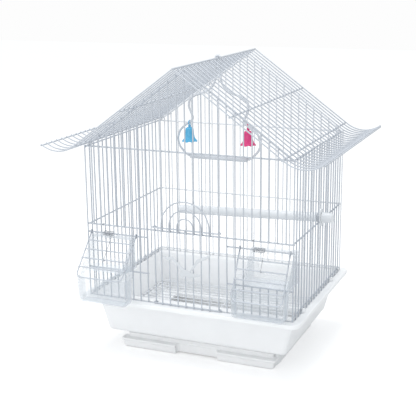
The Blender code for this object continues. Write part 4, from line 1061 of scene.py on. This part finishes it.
# Stage
def stage():
    floor = bmesh.new()
    corners = [(-4.0, -3.0), (4.0, -3.0), (4.0, 5.0), (-4.0, 5.0)]
    floor.faces.new([floor.verts.new((x, y, FLOOR_Z)) for x, y in corners])
    made = bpy.data.materials.new("pale_floor")
    made.use_nodes = True
    nodes, links = made.node_tree.nodes, made.node_tree.links
    shader = nodes["Principled BSDF"]
    shader.inputs["Base Color"].default_value = (0.80, 0.80, 0.80, 1.0)
    shader.inputs["Roughness"].default_value = 0.9
    shader.inputs["Specular IOR Level"].default_value = 0.0
    seen = nodes.new("ShaderNodeLightPath")
    lift = nodes.new("ShaderNodeEmission")
    lift.inputs["Strength"].default_value = FLOOR_LIFT
    total = nodes.new("ShaderNodeAddShader")
    choose = nodes.new("ShaderNodeMixShader")
    links.new(shader.outputs["BSDF"], total.inputs[0])
    links.new(lift.outputs["Emission"], total.inputs[1])
    links.new(seen.outputs["Is Camera Ray"], choose.inputs["Fac"])
    links.new(shader.outputs["BSDF"], choose.inputs[1])
    links.new(total.outputs["Shader"], choose.inputs[2])
    links.new(choose.outputs["Shader"], nodes["Material Output"].inputs["Surface"])
    data = bpy.data.meshes.new("floor")
    floor.to_mesh(data)
    floor.free()
    data.materials.append(made)
    ground = bpy.data.objects.new("floor", data)
    bpy.context.scene.collection.objects.link(ground)

    world = bpy.data.worlds.new("studio")
    bpy.context.scene.world = world
    world.use_nodes = True
    nodes, links = world.node_tree.nodes, world.node_tree.links
    light = nodes["Background"]
    light.inputs["Color"].default_value = WORLD_COLOUR
    light.inputs["Strength"].default_value = WORLD_STRENGTH
    shown = nodes.new("ShaderNodeBackground")
    shown.inputs["Color"].default_value = BACKDROP
    path = nodes.new("ShaderNodeLightPath")
    either = nodes.new("ShaderNodeMath")
    either.operation = "MAXIMUM"
    links.new(path.outputs["Is Camera Ray"], either.inputs[0])
    links.new(path.outputs["Is Glossy Ray"], either.inputs[1])
    mix = nodes.new("ShaderNodeMixShader")
    links.new(either.outputs["Value"], mix.inputs["Fac"])
    links.new(light.outputs["Background"], mix.inputs[1])
    links.new(shown.outputs["Background"], mix.inputs[2])
    links.new(mix.outputs["Shader"], nodes["World Output"].inputs["Surface"])


def lamp(name, place, target, size, power, colour=(1.0, 1.0, 1.0)):
    data = bpy.data.lights.new(name, "AREA")
    data.size = size
    data.energy = power
    data.color = colour
    obj = bpy.data.objects.new(name, data)
    obj.location = place
    aim = Vector(target) - Vector(place)
    obj.rotation_euler = aim.to_track_quat("-Z", "Y").to_euler()
    bpy.context.scene.collection.objects.link(obj)


def camera():
    yaw, pitch, roll = (math.radians(angle) for angle in CAMERA_ANGLES)
    ahead = Vector((math.sin(yaw) * math.cos(pitch), math.cos(yaw) * math.cos(pitch), -math.sin(pitch)))
    right = ahead.cross(Z_AXIS).normalized()
    up = right.cross(ahead)
    across = right * math.cos(roll) + up * math.sin(roll)
    above = up * math.cos(roll) - right * math.sin(roll)
    data = bpy.data.cameras.new("camera")
    data.sensor_width = SENSOR_WIDTH
    data.lens = SENSOR_WIDTH * FOCAL_PIXELS / PICTURE_PIXELS
    data.clip_start = 0.05
    data.clip_end = 50.0
    obj = bpy.data.objects.new("camera", data)
    turn = Matrix((across, above, -ahead)).transposed().to_4x4()
    obj.matrix_world = Matrix.Translation(Vector(CAMERA_PLACE) + Y_AXIS * SHIFT) @ turn
    bpy.context.scene.collection.objects.link(obj)
    bpy.context.scene.camera = obj


camera()
stage()
lamp("key", (-1.1, -1.8, 1.1), (0.0, 0.0, 0.12), 1.4, 4.5)
lamp("low", (-0.1, -1.9, 0.12), (0.0, 0.0, 0.02), 0.8, 5.5)
lamp("top", (-0.15, 0.05, 1.7), (0.0, 0.05, 0.1), 0.9, 12.0)
lamp("fill", (1.8, -1.2, 1.2), (0.0, 0.0, 0.2), 1.6, 1.0, (0.93, 0.96, 1.0))
panels()
roof()
tub()
tray()
grille()
clips()
door()
cup("cup_left_shell", "feeder_cup_left", "cup_left", -1, CUP_OUT_LEFT)
cup("cup_right_shell", "feeder_cup_right", "cage", 1, 0.0)
flap("flap_left_wires", "feeder_flap_left", "flap_left", -FEEDER_X, flap_angle_left())
flap("flap_right_wires", "feeder_flap_right", "flap_right", FEEDER_X, FLAP_ANGLE_RIGHT)
spring("spring_left", "flap_spring_left", -FEEDER_X, flap_angle_left(), FLAP_CROSS[2])
spring("spring_right", "flap_spring_right", FEEDER_X, FLAP_ANGLE_RIGHT, FLAP_CROSS[1])
perch()
swing()
bell("blue_bell", "bell_blue", "blue_bell", -1, BLUE)
bell("pink_bell", "bell_pink", "pink_bell", 1, PINK)

bpy.context.scene.view_settings.view_transform = "Standard"
